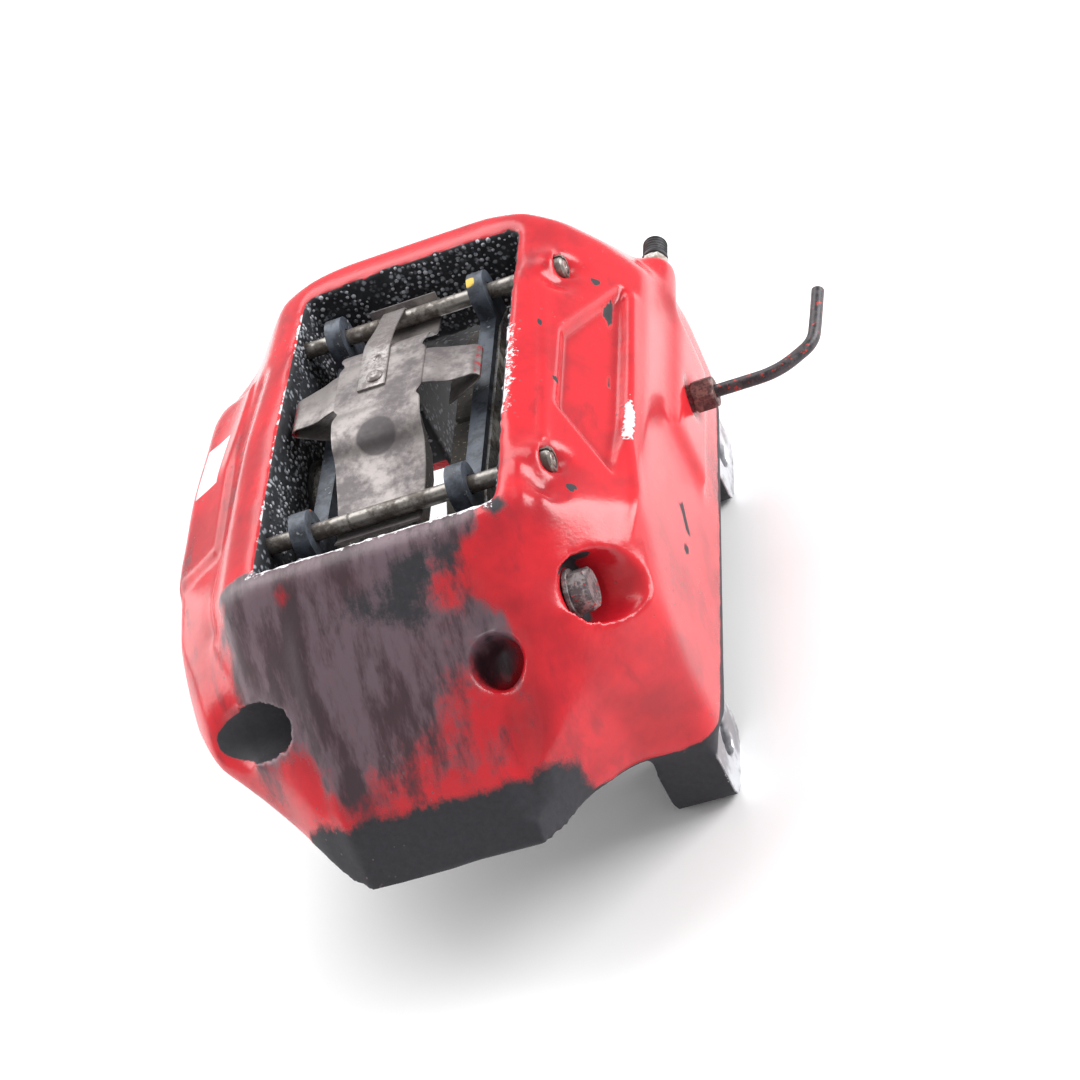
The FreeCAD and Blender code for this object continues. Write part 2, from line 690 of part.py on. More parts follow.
def strip_along(points, thickness, low, high, across):
    """A bent strip: the band between a path and its parallel, drawn out along one axis."""
    upper = []
    lower = []
    for index, point in enumerate(points):
        before = points[max(index - 1, 0)]
        after = points[min(index + 1, len(points) - 1)]
        run = math.hypot(after[0] - before[0], after[1] - before[1])
        normal = (-(after[1] - before[1]) / run, (after[0] - before[0]) / run)
        upper.append((point[0] + normal[0] * thickness / 2, point[1] + normal[1] * thickness / 2))
        lower.append((point[0] - normal[0] * thickness / 2, point[1] - normal[1] * thickness / 2))
    ring = upper + lower[::-1]
    if across == "x":
        corners = [FreeCAD.Vector(low, u, v) for u, v in ring]
        direction = FreeCAD.Vector(high - low, 0, 0)
    else:
        corners = [FreeCAD.Vector(u, low, v) for u, v in ring]
        direction = FreeCAD.Vector(0, high - low, 0)
    return Part.Face(Part.makePolygon(corners + corners[:1])).extrude(direction)


def spring_profile():
    """The long leaf's path in Y and Z: under both pins, and arched up between them."""
    end = dim("spring_end_y")
    crest = dim("spring_crest_z")
    low = dim("spring_pin_z")
    pin = dim("pin_half_pitch")
    return [(-end, low - 0.6), (-pin, low), (-40.0, low + 2.4), (-27.0, low + 6.5),
            (-22.0, crest - 3.2), (-17.0, crest - 1.4), (-10.0, crest - 0.3), (-5.0, crest),
            (24.0, crest), (32.0, crest - 4.2), (42.0, low + 2.6), (49.0, low), (pin, low),
            (end, low - 0.6)]


def wing_profile(sign):
    """A wing's path in X and Z: out over the pad's edge, and folded back under itself."""
    middle = dim("spring_x")
    crest = dim("spring_crest_z")
    height = dim("wing_z")
    reach = dim("wing_half_length")
    return [(middle + sign * u, v) for u, v in (
        (2.0, crest), (14.0, crest - 0.2), (22.0, height + 1.6), (reach - 4, height),
        (reach - 1.2, height - 0.6), (reach, height - 2.2), (reach - 1.4, height - 3.6),
        (reach - 6, height - 5.2), (reach - 14, height - 8.2))]


def rivet_hole():
    """The hole that the rivet's shank passes through, in both sheets."""
    radius = dim("rivet_shank_radius") + dim("sheet_gap")
    low = FreeCAD.Vector(dim("rivet_x"), dim("rivet_y"), dim("spring_crest_z") - 5)
    return Part.makeCylinder(radius, 10, low)


def pad_spring():
    """The cross-shaped leaf spring, cut and folded from one sheet."""
    spring = doc.addObject("Part::Feature", "pad_spring_sheet")
    thickness = dim("spring_thickness")
    low = dim("spring_x") - dim("spring_half_width")
    high = dim("spring_x") + dim("spring_half_width")
    solid = strip_along(spring_profile(), thickness, low, high, "x")
    for sign in (-1, 1):
        path = wing_profile(sign)
        if sign < 0:
            path = path[::-1]
        wing = strip_along(path, thickness, dim("wing_near_y"), dim("wing_far_y"), "y")
        solid = solid.fuse(wing)
    spring.Shape = solid.removeSplitter().cut(rivet_hole())
    place(spring)
    return keep(spring, "pad_spring")


def spring_hook():
    """The hook plate riveted to the long leaf, whose tongue catches the far pin."""
    hook = doc.addObject("Part::Feature", "spring_hook_sheet")
    thickness = dim("spring_thickness")
    level = dim("spring_crest_z") + thickness + dim("sheet_gap")
    pin = dim("pin_half_pitch")
    radius = dim("pin_radius") + thickness / 2 + dim("hook_clearance")
    path = [(dim("hook_near_y"), level), (27.0, level), (36.0, level - 2.0), (pin - 12.0, 6.7)]
    for angle in (75, 50, 25, 0, -25):
        turn = math.radians(angle)
        path.append((pin + radius * math.cos(turn), radius * math.sin(turn)))
    low = dim("hook_x") - dim("hook_half_width")
    high = dim("hook_x") + dim("hook_half_width")
    hook.Shape = strip_along(path, thickness, low, high, "x").cut(rivet_hole())
    place(hook)
    return keep(hook, "spring_hook")


def spring_rivet():
    """The rivet through both sheets: a shank between two shallow round heads."""
    rivet = new_body("spring_rivet")
    under = "spring_crest_z - spring_thickness / 2 - sheet_gap"
    over = "spring_crest_z + spring_thickness / 2 + spring_thickness + sheet_gap + sheet_gap"
    sketch = outline(rivet, "rivet_section", "XZ_Plane", [
        ("0", under + " - 1.3"), ("rivet_head_radius - 0.7", under + " - 1.3"),
        ("rivet_head_radius", under + " - 0.6"), ("rivet_head_radius", under),
        ("rivet_shank_radius", under), ("rivet_shank_radius", over),
        ("rivet_head_radius", over), ("rivet_head_radius", over + " + 0.6"),
        ("rivet_head_radius - 0.8", over + " + 1.4"), ("0", over + " + 1.7")])
    revolve_feature(rivet, sketch, "V_Axis")
    place(rivet, "rivet_x", "rivet_y", "0")


def abutment_plates():
    """Four stainless guide plates between the pads' ends and the casting."""
    plates = doc.addObject("Part::MultiFuse", "abutment_set")
    blocks = []
    for side, low_x in (("outboard", "0 - 37"), ("inboard", "20")):
        for name, low_y in (("near", "0 - cavity_half_length"),
                            ("far", "cavity_half_length - abutment_thickness")):
            blocks.append(block("abutment_%s_%s" % (side, name), (low_x, low_y, "abutment_bottom_z"),
                                (low_x + " + 17", low_y + " + abutment_thickness", "abutment_top_z")))
    plates.Shapes = blocks
    place(plates)
    return keep(plates, "abutment_plates")


def bleed_screw(side, x, y, z):
    """A hollow bleed screw: thread, hexagon and hose nipple, along its own Z."""
    screw = new_body("bleed_screw_" + side)
    thread = "bleed_thread_radius - 0.05"
    neck = "bleed_nipple_radius - 0.8"
    top = "bleed_hex_length + bleed_nipple_length"
    section = outline(screw, "bleed_section_" + side, "XZ_Plane", [
        ("bleed_bore_radius", "0 - bleed_thread_length"),
        ("bleed_bore_radius + 0.6", "0 - bleed_thread_length"),
        (thread, "3 - bleed_thread_length"), (thread, "0"), (thread, "bleed_hex_length"),
        (neck, "bleed_hex_length"), (neck, "bleed_hex_length + 4"),
        ("bleed_nipple_radius", "bleed_hex_length + 5"), (neck, top), ("bleed_bore_radius", top)])
    revolve_feature(screw, section, "V_Axis")
    ring = hexagon_sketch(screw, "bleed_hexagon_" + side, "XY_Plane", "bleed_hex_flats")
    pad_feature(screw, ring, "bleed_hex_length", offset="0.4")
    hole = circle_sketch(screw, "bleed_bore_" + side, "XY_Plane", [("0", "0", "bleed_bore_radius")])
    pocket_through(screw, hole)
    place(screw, x, y, z, -90.0, (1, 0, 0))


def bleed_cap(side, x, y, z):
    """A rubber dust cap: a closed cup over the nipple, clear of it all round."""
    wall_in = "bleed_nipple_radius + cap_gap"
    cap = new_body("bleed_cap_" + side)
    section = outline(cap, "cap_section_" + side, "XZ_Plane", [
        (wall_in, "0"), ("cap_radius + 0.3", "0"), ("cap_radius + 0.3", "2"), ("cap_radius", "2.4"),
        ("cap_radius", "cap_length - 2"), ("cap_radius - 1", "cap_length - 0.6"),
        ("cap_radius - 2.4", "cap_length"), ("0", "cap_length"), ("0", "cap_length - 1.8"),
        (wall_in, "cap_length - 1.8")])
    revolve_feature(cap, section, "V_Axis")
    place(cap, x, y + " + bleed_hex_length + 0.8", z, -90.0, (1, 0, 0))


def pipe_nut():
    """The tube nut that clamps the brake pipe in the port."""
    nut = turned_part("pipe_nut", [
        ("0 - nut_shank_length", "pipe_radius + 0.05"), ("0 - nut_shank_length", "port_hole_radius - 1"),
        ("1 - nut_shank_length", "port_hole_radius - 0.05"), ("1", "port_hole_radius - 0.05"),
        ("1", "pipe_radius + 0.05")])
    ring = hexagon_sketch(nut, "nut_hexagon", "YZ_Plane", "nut_flats")
    pad_feature(nut, ring, "nut_hex_length", offset="0.5")
    hole = circle_sketch(nut, "nut_bore", "YZ_Plane", [("0", "0", "pipe_radius + 0.05")])
    pocket_through(nut, hole)
    place(nut, "port_face_x", "port_y", "port_z")


def brake_pipe():
    """The steel pipe: straight runs joined by two tangent arcs, with a bore right through."""
    pipe = doc.addObject("Part::Feature", "brake_pipe_tube")
    z = dim("port_z")
    corners = [
        FreeCAD.Vector(dim("port_face_x") - dim("nut_shank_length") + 1, dim("port_y"), z),
        FreeCAD.Vector(dim("pipe_straight_x"), dim("port_y"), z),
        FreeCAD.Vector(dim("pipe_bend_x"), (dim("port_y") + dim("pipe_bend_y")) / 2, z),
        FreeCAD.Vector(dim("pipe_bend_x") + 2, dim("pipe_bend_y"), z + 2),
        FreeCAD.Vector(dim("pipe_end_x"), dim("pipe_end_y"), z + 4),
    ]
    edges = []
    start = corners[0]
    for before, corner, after in zip(corners, corners[1:], corners[2:]):
        back = before - corner
        ahead = after - corner
        reach = 0.45 * min(back.Length, ahead.Length)
        entry = corner + back.normalize() * reach
        leave = corner + ahead.normalize() * reach
        bisector = (back + ahead).normalize()
        half = math.acos(max(-1.0, min(1.0, back.dot(ahead)))) / 2
        sagitta = reach / math.cos(half) - reach * math.tan(half)
        edges.append(Part.LineSegment(start, entry).toShape())
        edges.append(Part.Arc(entry, corner + bisector * sagitta, leave).toShape())
        start = leave
    edges.append(Part.LineSegment(start, corners[-1]).toShape())
    path = Part.Wire(edges)
    solids = []
    for radius in (dim("pipe_radius"), dim("pipe_bore_radius")):
        ring = Part.Wire(Part.makeCircle(radius, corners[0], FreeCAD.Vector(1, 0, 0)))
        solids.append(path.makePipeShell([ring], True, True))
    pipe.Shape = solids[0].cut(solids[1])
    place(pipe)
    return keep(pipe, "brake_pipe")


def bracket_bolt():
    """A hexagon-head bolt and its washer, seated in the round recess."""
    bolt = turned_part("bracket_bolt", [
        ("1 - bolt_length", "0"), ("1 - bolt_length", "bolt_radius - 1"),
        ("2 - bolt_length", "bolt_radius - 0.05"), ("washer_thickness + 1", "bolt_radius - 0.05"),
        ("washer_thickness + 1", "0")])
    head = hexagon_sketch(bolt, "bolt_hexagon", "YZ_Plane", "bolt_flats")
    pad_feature(bolt, head, "bolt_head_height", offset="washer_thickness")
    place(bolt, "bolt_face_x", "bolt_y", "bolt_z")
    washer = turned_part("bolt_washer", [
        ("0", "bolt_radius"), ("0", "washer_radius"), ("washer_thickness - 0.3", "washer_radius"),
        ("washer_thickness", "washer_radius - 0.3"), ("washer_thickness", "bolt_radius")])
    place(washer, "bolt_face_x", "bolt_y", "bolt_z")


def check_and_write():
    doc.recompute()
    for obj in doc.Objects:
        if "Invalid" in obj.State or "Error" in obj.State:
            raise RuntimeError("failed object: %s %s" % (obj.Name, obj.State))
    os.makedirs("parts", exist_ok=True)
    for obj in sub_parts:
        shape = obj.Shape
        if shape.isNull() or not shape.isValid() or not shape.Solids:
            raise RuntimeError("bad shape: " + obj.Label)
        shape.exportStep("parts/%s.step" % obj.Label)
        print("%-28s solids %d volume %.1f" % (obj.Label, len(shape.Solids), shape.Volume))


def main():
    fill_sheet()
    caliper_body()
    for side, sign in SIDES:
        for position, step in BORES:
            piston_set(side, sign, position, step)
        pad_pieces(side, sign)
    pad_pins()
    pad_spring()
    spring_hook()
    spring_rivet()
    abutment_plates()
    bleed_screw("inboard", "bleed_x", "bleed_seat_y", "bleed_z")
    bleed_cap("inboard", "bleed_x", "bleed_seat_y", "bleed_z")
    bleed_screw("outboard", "bleed_outboard_x", "bleed_outboard_seat_y", "bleed_outboard_z")
    bleed_cap("outboard", "bleed_outboard_x", "bleed_outboard_seat_y", "bleed_outboard_z")
    pipe_nut()
    brake_pipe()
    bracket_bolt()
    check_and_write()


main()
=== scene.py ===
"""Builds the looks of a fixed six-piston brake caliper around its engineering frame."""

import math

import bmesh
import bpy
import numpy as np
from mathutils import Matrix, Vector
from mathutils.bvhtree import BVHTree


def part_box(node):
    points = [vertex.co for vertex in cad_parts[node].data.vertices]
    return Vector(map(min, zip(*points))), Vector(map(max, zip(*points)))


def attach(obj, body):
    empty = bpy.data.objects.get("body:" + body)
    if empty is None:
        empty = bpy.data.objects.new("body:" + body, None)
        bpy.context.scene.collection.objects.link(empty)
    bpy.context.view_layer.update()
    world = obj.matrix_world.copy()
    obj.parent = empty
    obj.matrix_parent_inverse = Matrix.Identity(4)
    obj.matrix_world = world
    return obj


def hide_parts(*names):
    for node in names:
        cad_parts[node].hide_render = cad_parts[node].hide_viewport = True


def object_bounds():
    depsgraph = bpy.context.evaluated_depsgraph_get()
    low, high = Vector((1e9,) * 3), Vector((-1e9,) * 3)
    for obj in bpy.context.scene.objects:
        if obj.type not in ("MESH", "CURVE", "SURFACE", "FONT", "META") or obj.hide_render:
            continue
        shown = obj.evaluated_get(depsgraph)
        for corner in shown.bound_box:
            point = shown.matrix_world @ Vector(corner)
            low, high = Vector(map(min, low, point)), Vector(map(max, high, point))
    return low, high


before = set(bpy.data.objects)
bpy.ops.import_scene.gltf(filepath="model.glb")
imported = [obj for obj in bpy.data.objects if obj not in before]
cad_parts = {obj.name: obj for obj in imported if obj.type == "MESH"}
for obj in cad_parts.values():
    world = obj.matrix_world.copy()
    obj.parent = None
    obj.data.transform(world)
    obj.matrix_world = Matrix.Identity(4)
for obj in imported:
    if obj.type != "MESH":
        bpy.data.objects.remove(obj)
cad_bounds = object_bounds()

bl_info = {
    "name": "Brake Caliper Builder",
    "version": (1, 0, 0),
    "blender": (4, 5, 0),
    "location": "View3D > Sidebar > Caliper",
    "description": "Builds a cast brake caliper with its pads, pins, spring, screws and pipe",
    "category": "Object",
}

MM = 0.001
MERGE = 1e-6
CALIPER = "caliper"


def layout_zero():
    """The middle of the two pad pins, between the two backing plates, in metres."""
    outboard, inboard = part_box("pad_plate_outboard"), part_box("pad_plate_inboard")
    near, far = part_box("retaining_pin_near"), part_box("retaining_pin_far")
    return Vector((
        (outboard[0].x + inboard[1].x) / 2,
        (near[0].y + far[1].y) / 2,
        (near[0].z + near[1].z) / 2,
    ))


ZERO = layout_zero()


def lay(x, y, z):
    """A point given in millimetres from the layout's zero, in metres in the frame."""
    return ZERO + Vector((x, y, z)) * MM


def box_mm(node):
    """A node's lowest and highest corners in millimetres from the layout's zero."""
    low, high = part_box(node)
    return (low - ZERO) / MM, (high - ZERO) / MM


# ---------------------------------------------------------------- small tools


def smoothstep(low, high, value):
    share = np.clip((value - low) / (high - low), 0, 1)
    return share * share * (3 - 2 * share)


def bump_at(points, centre, radii):
    """A soft hill of height one about a centre, in millimetres."""
    away = (points - np.array(centre, float)) / np.array(radii, float)
    return np.exp(-(away ** 2).sum(1))


def depth_in(polygon, u, v):
    """Distance from a polygon's edge, positive inside it."""
    best = np.full(u.shape, 1e9)
    inside = np.zeros(u.shape, bool)
    for (ax, ay), (bx, by) in zip(polygon, polygon[1:] + polygon[:1]):
        ex, ey = bx - ax, by - ay
        share = np.clip(((u - ax) * ex + (v - ay) * ey) / (ex * ex + ey * ey), 0, 1)
        best = np.minimum(best, np.hypot(u - ax - share * ex, v - ay - share * ey))
        if ay != by:
            inside ^= ((ay > v) != (by > v)) & (u < ex * (v - ay) / ey + ax)
    return np.where(inside, best, -best)


def distance_to_path(path, points):
    """Distance from an open run of straight pieces in space."""
    best = np.full(len(points), 1e9)
    for start, end in zip(path, path[1:]):
        start, run = np.array(start, float), np.array(end, float) - np.array(start, float)
        share = np.clip(((points - start) @ run) / (run @ run), 0, 1)
        best = np.minimum(best, np.linalg.norm(points - start - share[:, None] * run, axis=1))
    return best


def grain(points, size, seed):
    """Smooth random values from -1 to 1 that change over the given size."""
    cell = points / size + seed * 17.31
    base = np.floor(cell).astype(np.int64)
    part = cell - base
    part = part * part * (3 - 2 * part)
    total = np.zeros(len(points))
    for corner in range(8):
        step = np.array([corner & 1, corner >> 1 & 1, corner >> 2 & 1])
        key = base + step
        code = key[:, 0] * 73856093 ^ key[:, 1] * 19349663 ^ key[:, 2] * 83492791
        code ^= seed * 2654435761
        code = (code ^ code >> 13) * 1274126177
        value = (code ^ code >> 16 & 0xFFFF) % 65536 / 32767.5 - 1
        weight = np.where(step, part, 1 - part).prod(1)
        total += weight * value
    return total


def bent(start, corner, end, share):
    """A point on the short curve that rounds a corner."""
    return (1 - share) ** 2 * start + 2 * share * (1 - share) * corner + share ** 2 * end


def ring_faces(rings, steps, closed=False, first=0):
    """Four-sided faces between neighbouring rings of vertices."""
    faces = []
    for ring in range(rings if closed else rings - 1):
        here, after = first + ring * steps, first + (ring + 1) % rings * steps
        for index in range(steps):
            beside = (index + 1) % steps
            faces.append((here + index, here + beside, after + beside, after + index))
    return faces


def link(piece):
    bpy.context.scene.collection.objects.link(piece)
    return piece


def new_piece(name, vertices, faces):
    mesh = bpy.data.meshes.new(name)
    mesh.from_pydata([tuple(v) for v in vertices], [], faces)
    mesh.update()
    return link(bpy.data.objects.new(name, mesh))


def outward(piece):
    """Merges doubles and turns a closed mesh's faces outwards."""
    shell = bmesh.new()
    shell.from_mesh(piece.data)
    bmesh.ops.remove_doubles(shell, verts=shell.verts, dist=MERGE)
    bmesh.ops.recalc_face_normals(shell, faces=shell.faces)
    shell.to_mesh(piece.data)
    shell.free()
    return piece


def bake(piece):
    """Turns a mesh piece and its live modifiers into one plain mesh."""
    evaluated = piece.evaluated_get(bpy.context.evaluated_depsgraph_get())
    mesh = bpy.data.meshes.new_from_object(evaluated)
    mesh.name = piece.name
    piece.modifiers.clear()
    piece.data = mesh
    return piece


def copy_of_node(node, name):
    """A clean, merged copy of an engineering node's mesh, without its stored normals."""
    source = bmesh.new()
    source.from_mesh(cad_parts[node].data)
    bmesh.ops.remove_doubles(source, verts=source.verts, dist=2 * MERGE)
    source.verts.index_update()
    vertices = [v.co.copy() for v in source.verts]
    faces = [[v.index for v in face.verts] for face in source.faces]
    source.free()
    return new_piece(name, vertices, faces)


def settle(piece, body, material, nodes=(), angle=35.0):
    """Gives a finished piece its material, shading and body."""
    piece.data.materials.clear()
    piece.data.materials.append(material)
    piece.data.shade_smooth()
    piece.data.set_sharp_from_angle(angle=math.radians(angle))
    if nodes:
        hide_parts(*nodes)
    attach(piece, body)
    return piece


def dress(nodes, material):
    """Gives engineering nodes that stay in the scene their material."""
    for node in nodes:
        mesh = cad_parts[node].data
        mesh.materials.clear()
        mesh.materials.append(material)


def joined(pieces, name):
    """One piece from several, keeping each closed shell as it is."""
    whole = bmesh.new()
    for piece in pieces:
        whole.from_mesh(piece.data)
    mesh = bpy.data.meshes.new(name)
    whole.to_mesh(mesh)
    whole.free()
    for piece in pieces:
        bpy.data.objects.remove(piece)
    return link(bpy.data.objects.new(name, mesh))


def cut_by(piece, tool, operation="DIFFERENCE"):
    step = piece.modifiers.new("cut", "BOOLEAN")
    step.object = tool
    step.operation = operation
    step.solver = "EXACT"
    bake(piece)
    bpy.data.objects.remove(tool)
    return piece


# ---------------------------------------------------------------- materials


class Finish:
    """Wires the nodes of one material. Patterns are sized in millimetres."""

    def __init__(self, name):
        self.material = bpy.data.materials.new(name)
        self.material.use_nodes = True
        self.tree = self.material.node_tree
        self.tree.nodes.clear()
        self.surface = self.add("ShaderNodeBsdfPrincipled")
        out = self.add("ShaderNodeOutputMaterial")
        self.tree.links.new(self.surface.outputs[0], out.inputs[0])
        self.place = self.add("ShaderNodeTexCoord").outputs["Object"]

    def add(self, kind, **settings):
        node = self.tree.nodes.new(kind)
        for key, value in settings.items():
            setattr(node, key, value)
        return node

    def join(self, value, socket):
        if isinstance(value, bpy.types.NodeSocket):
            self.tree.links.new(value, socket)
        else:
            socket.default_value = value

    def math(self, operation, a, b=0.0):
        node = self.add("ShaderNodeMath", operation=operation)
        self.join(a, node.inputs[0])
        self.join(b, node.inputs[1])
        return node.outputs[0]

    def plus(self, a, b):
        return self.math("ADD", a, b)

    def minus(self, a, b):
        return self.math("SUBTRACT", a, b)

    def times(self, a, b):
        return self.math("MULTIPLY", a, b)

    def vector(self, operation, a, b):
        node = self.add("ShaderNodeVectorMath", operation=operation)
        self.join(a, node.inputs[0])
        self.join(b, node.inputs[1])
        return node.outputs["Value" if operation in ("DOT_PRODUCT", "DISTANCE") else "Vector"]

    def near_spot(self, centre, far, near, ragged, most=1.0):
        """A spot with a ragged rim, given in millimetres from the layout's zero."""
        away = self.vector("DISTANCE", self.place, tuple(lay(*centre)))
        reach = self.plus(away, self.times(ragged, 1.6 * MM))
        return self.ramp(reach, far * MM, near * MM, 0.0, most)

    def noise(self, size, detail=3.0, rough=0.55, stretch=None, shift=0.0):
        place = self.place
        if stretch is not None:
            place = self.vector("MULTIPLY", place, stretch)
        if shift:
            place = self.vector("ADD", place, (shift, -shift, shift / 2))
        node = self.add("ShaderNodeTexNoise")
        self.join(place, node.inputs["Vector"])
        node.inputs["Scale"].default_value = 1000 / size
        node.inputs["Detail"].default_value = detail
        node.inputs["Roughness"].default_value = rough
        return node.outputs["Fac"]

    def cells(self, size):
        node = self.add("ShaderNodeTexVoronoi")
        self.join(self.place, node.inputs["Vector"])
        node.inputs["Scale"].default_value = 1000 / size
        return node.outputs["Distance"]

    def ramp(self, value, low, high, start=0.0, end=1.0):
        node = self.add("ShaderNodeMapRange", interpolation_type="SMOOTHSTEP")
        for socket, number in zip(("Value", "From Min", "From Max", "To Min", "To Max"),
                                  (value, low, high, start, end)):
            self.join(number, node.inputs[socket])
        return node.outputs["Result"]

    def mix(self, share, a, b):
        node = self.add("ShaderNodeMix", data_type="RGBA")
        self.join(share, node.inputs["Factor"])
        for value, socket in ((a, node.inputs[6]), (b, node.inputs[7])):
            self.join((*value, 1.0) if isinstance(value, tuple) else value, socket)
        return node.outputs[2]

    def blend(self, share, a, b):
        """A plain number between a and b."""
        node = self.add("ShaderNodeMix", data_type="FLOAT")
        self.join(share, node.inputs["Factor"])
        self.join(a, node.inputs[2])
        self.join(b, node.inputs[3])
        return node.outputs[0]

    def attribute(self, name):
        return self.add("ShaderNodeAttribute", attribute_name=name).outputs["Fac"]

    def across(self):
        """Where a surface stands along the frame's X axis, in metres."""
        node = self.add("ShaderNodeSeparateXYZ")
        self.join(self.place, node.inputs[0])
        return node.outputs[0]

    def close(self, colour, rough, metal=0.0, bump=None, depth=0.1):
        """Ends the material; the bump's depth is in millimetres."""
        self.join(colour, self.surface.inputs["Base Color"])
        self.join(rough, self.surface.inputs["Roughness"])
        self.join(metal, self.surface.inputs["Metallic"])
        if bump is not None:
            node = self.add("ShaderNodeBump")
            node.inputs["Strength"].default_value = 1.0
            node.inputs["Distance"].default_value = depth * MM
            self.join(bump, node.inputs["Height"])
            self.join(node.outputs[0], self.surface.inputs["Normal"])
        return self.material


def casting_finish(look):
    """Red enamel over a rough casting, with dust, soot, chips, rot and bare machined faces, and painted shade
    in its hollows, recesses, grooves, cavity and on faces turned downwards.
    """
    f = Finish("red_enamel_on_casting")
    edge, soot, dust = f.attribute("edge"), f.attribute("soot"), f.attribute("dust")
    rot, bare, pale = f.attribute("rot"), f.attribute("bare"), f.attribute("pale")
    hollow = f.attribute("hollow")
    streaks = f.noise(11.0, 5.0, 0.68, stretch=(1.0, 0.3, 0.3))
    patches = f.noise(30.0, 4.0, 0.6, shift=0.3)
    ragged = f.noise(8.0, 6.0, 0.74, shift=0.9)
    fine = f.noise(2.2, 4.0, 0.7)
    speck = f.cells(3.1)
    red = f.mix(f.ramp(patches, 0.35, 0.7), tuple(look.enamel), tuple(look.enamel_dark))
    red = f.mix(f.ramp(streaks, 0.52, 0.72, 0.0, 0.6), red, (0.25, 0.012, 0.022))
    # painted shade: the enamel is darker in the casting's hollows
    red = f.mix(f.times(hollow, 0.85), red, (0.1, 0.004, 0.008))
    # grey-purple road dust, wiped away in streaks
    film = f.plus(f.times(streaks, 0.75), f.times(ragged, 0.5))
    film = f.ramp(f.plus(film, dust), 1.0, 1.32)
    film = f.times(film, 0.95)
    film_colour = f.mix(f.ramp(streaks, 0.4, 0.6), tuple(look.dust), (0.03, 0.026, 0.034))
    colour = f.mix(film, red, film_colour)
    # soot and painted shade: dense, with ragged edges
    smear = f.plus(f.times(ragged, 0.55), f.times(streaks, 0.55))
    smear = f.ramp(f.plus(smear, soot), 1.05, 1.26)
    colour = f.mix(smear, colour, f.mix(fine, (0.012, 0.012, 0.016), (0.04, 0.038, 0.046)))
    # small pits and grit
    grit = f.ramp(f.plus(speck, f.times(patches, 0.5)), 0.36, 0.31)
    grit = f.times(grit, f.ramp(f.noise(40.0, 2.0), 0.46, 0.6))
    colour = f.mix(f.times(grit, 0.8), colour, (0.12, 0.08, 0.09))
    # chipped edges show the pale metal
    chip = f.plus(f.times(edge, 0.6), f.times(fine, 0.75))
    chip = f.ramp(f.plus(chip, f.times(pale, 0.5)), 1.02, 1.07)
    colour = f.mix(chip, colour, f.mix(fine, (0.55, 0.53, 0.55), (0.95, 0.93, 0.95)))
    # rotten, sooty walls with pale oxide grains; the same black stands for painted shade inside the cavity,
    # slot and bores
    blooms = f.ramp(f.plus(f.cells(2.6), f.times(fine, 0.55)), 0.72, 0.5)
    blooms = f.times(blooms, f.ramp(f.noise(11.0, 3.0, 0.6, shift=0.5), 0.42, 0.6))
    black = f.mix(fine, (0.006, 0.007, 0.009), (0.022, 0.024, 0.03))
    rotten = f.ramp(f.plus(rot, f.times(fine, 0.5)), 0.62, 0.8)
    colour = f.mix(rotten, colour, f.mix(blooms, black, (0.3, 0.32, 0.36)))
    # machined faces
    turning = f.noise(0.5, 2.0, 0.5, stretch=(0.2, 1.0, 1.0))
    stained = f.ramp(f.noise(16.0, 4.0, 0.65, shift=0.2), 0.45, 0.62)
    colour = f.mix(bare, colour, f.mix(stained, (0.74, 0.75, 0.78), (0.36, 0.35, 0.37)))
    white = f.mix(f.ramp(fine, 0.5, 0.75), (0.9, 0.9, 0.92), (0.6, 0.55, 0.58))
    colour = f.mix(label_mask(f), colour, white)
    rough = f.blend(film, f.blend(patches, 0.14, 0.3), 0.42)
    rough = f.blend(smear, rough, 0.72)
    rough = f.blend(chip, rough, 0.6)
    rough = f.blend(rot, rough, 0.75)
    rough = f.blend(bare, rough, f.blend(turning, 0.28, 0.45))
    bump = f.plus(f.times(f.noise(1.4, 3.0, 0.6), 0.35), f.times(fine, rot))
    bump = f.minus(bump, f.times(chip, 0.5))
    bump = f.minus(bump, f.times(grit, 0.6))
    bump = f.plus(bump, f.times(f.noise(6.0, 2.0, 0.5, shift=0.7), 0.5))
    return f.close(colour, rough, f.times(bare, 0.9), bump, 0.16)


LABEL_CENTRE = (-76.2, 11.0, -8.0)
LABEL_ACROSS = (0.957, 0.0, 0.29)
LABEL_HALF_LENGTH = 14.5
LABEL_HALF_WIDTH = 5.8


def label_mask(f):
    """A blank white painted rectangle on the outboard shoulder."""
    away = f.vector("SUBTRACT", f.place, tuple(lay(*LABEL_CENTRE)))
    along = f.math("ABSOLUTE", f.vector("DOT_PRODUCT", away, (0.0, 1.0, 0.0)))
    across = f.math("ABSOLUTE", f.vector("DOT_PRODUCT", away, LABEL_ACROSS))
    square = (-LABEL_ACROSS[2], 0.0, LABEL_ACROSS[0])
    off = f.math("ABSOLUTE", f.vector("DOT_PRODUCT", away, square))
    mask = f.times(*(f.ramp(reach, (half + 0.3) * MM, (half - 0.3) * MM)
                     for reach, half in ((along, LABEL_HALF_LENGTH), (across, LABEL_HALF_WIDTH))))
    mask = f.times(mask, f.ramp(off, 7 * MM, 6 * MM))
    return f.times(mask, f.ramp(f.noise(3.0, 4.0, 0.7, shift=0.15), 0.32, 0.36))


# ---------------------------------------------------------------- the casting


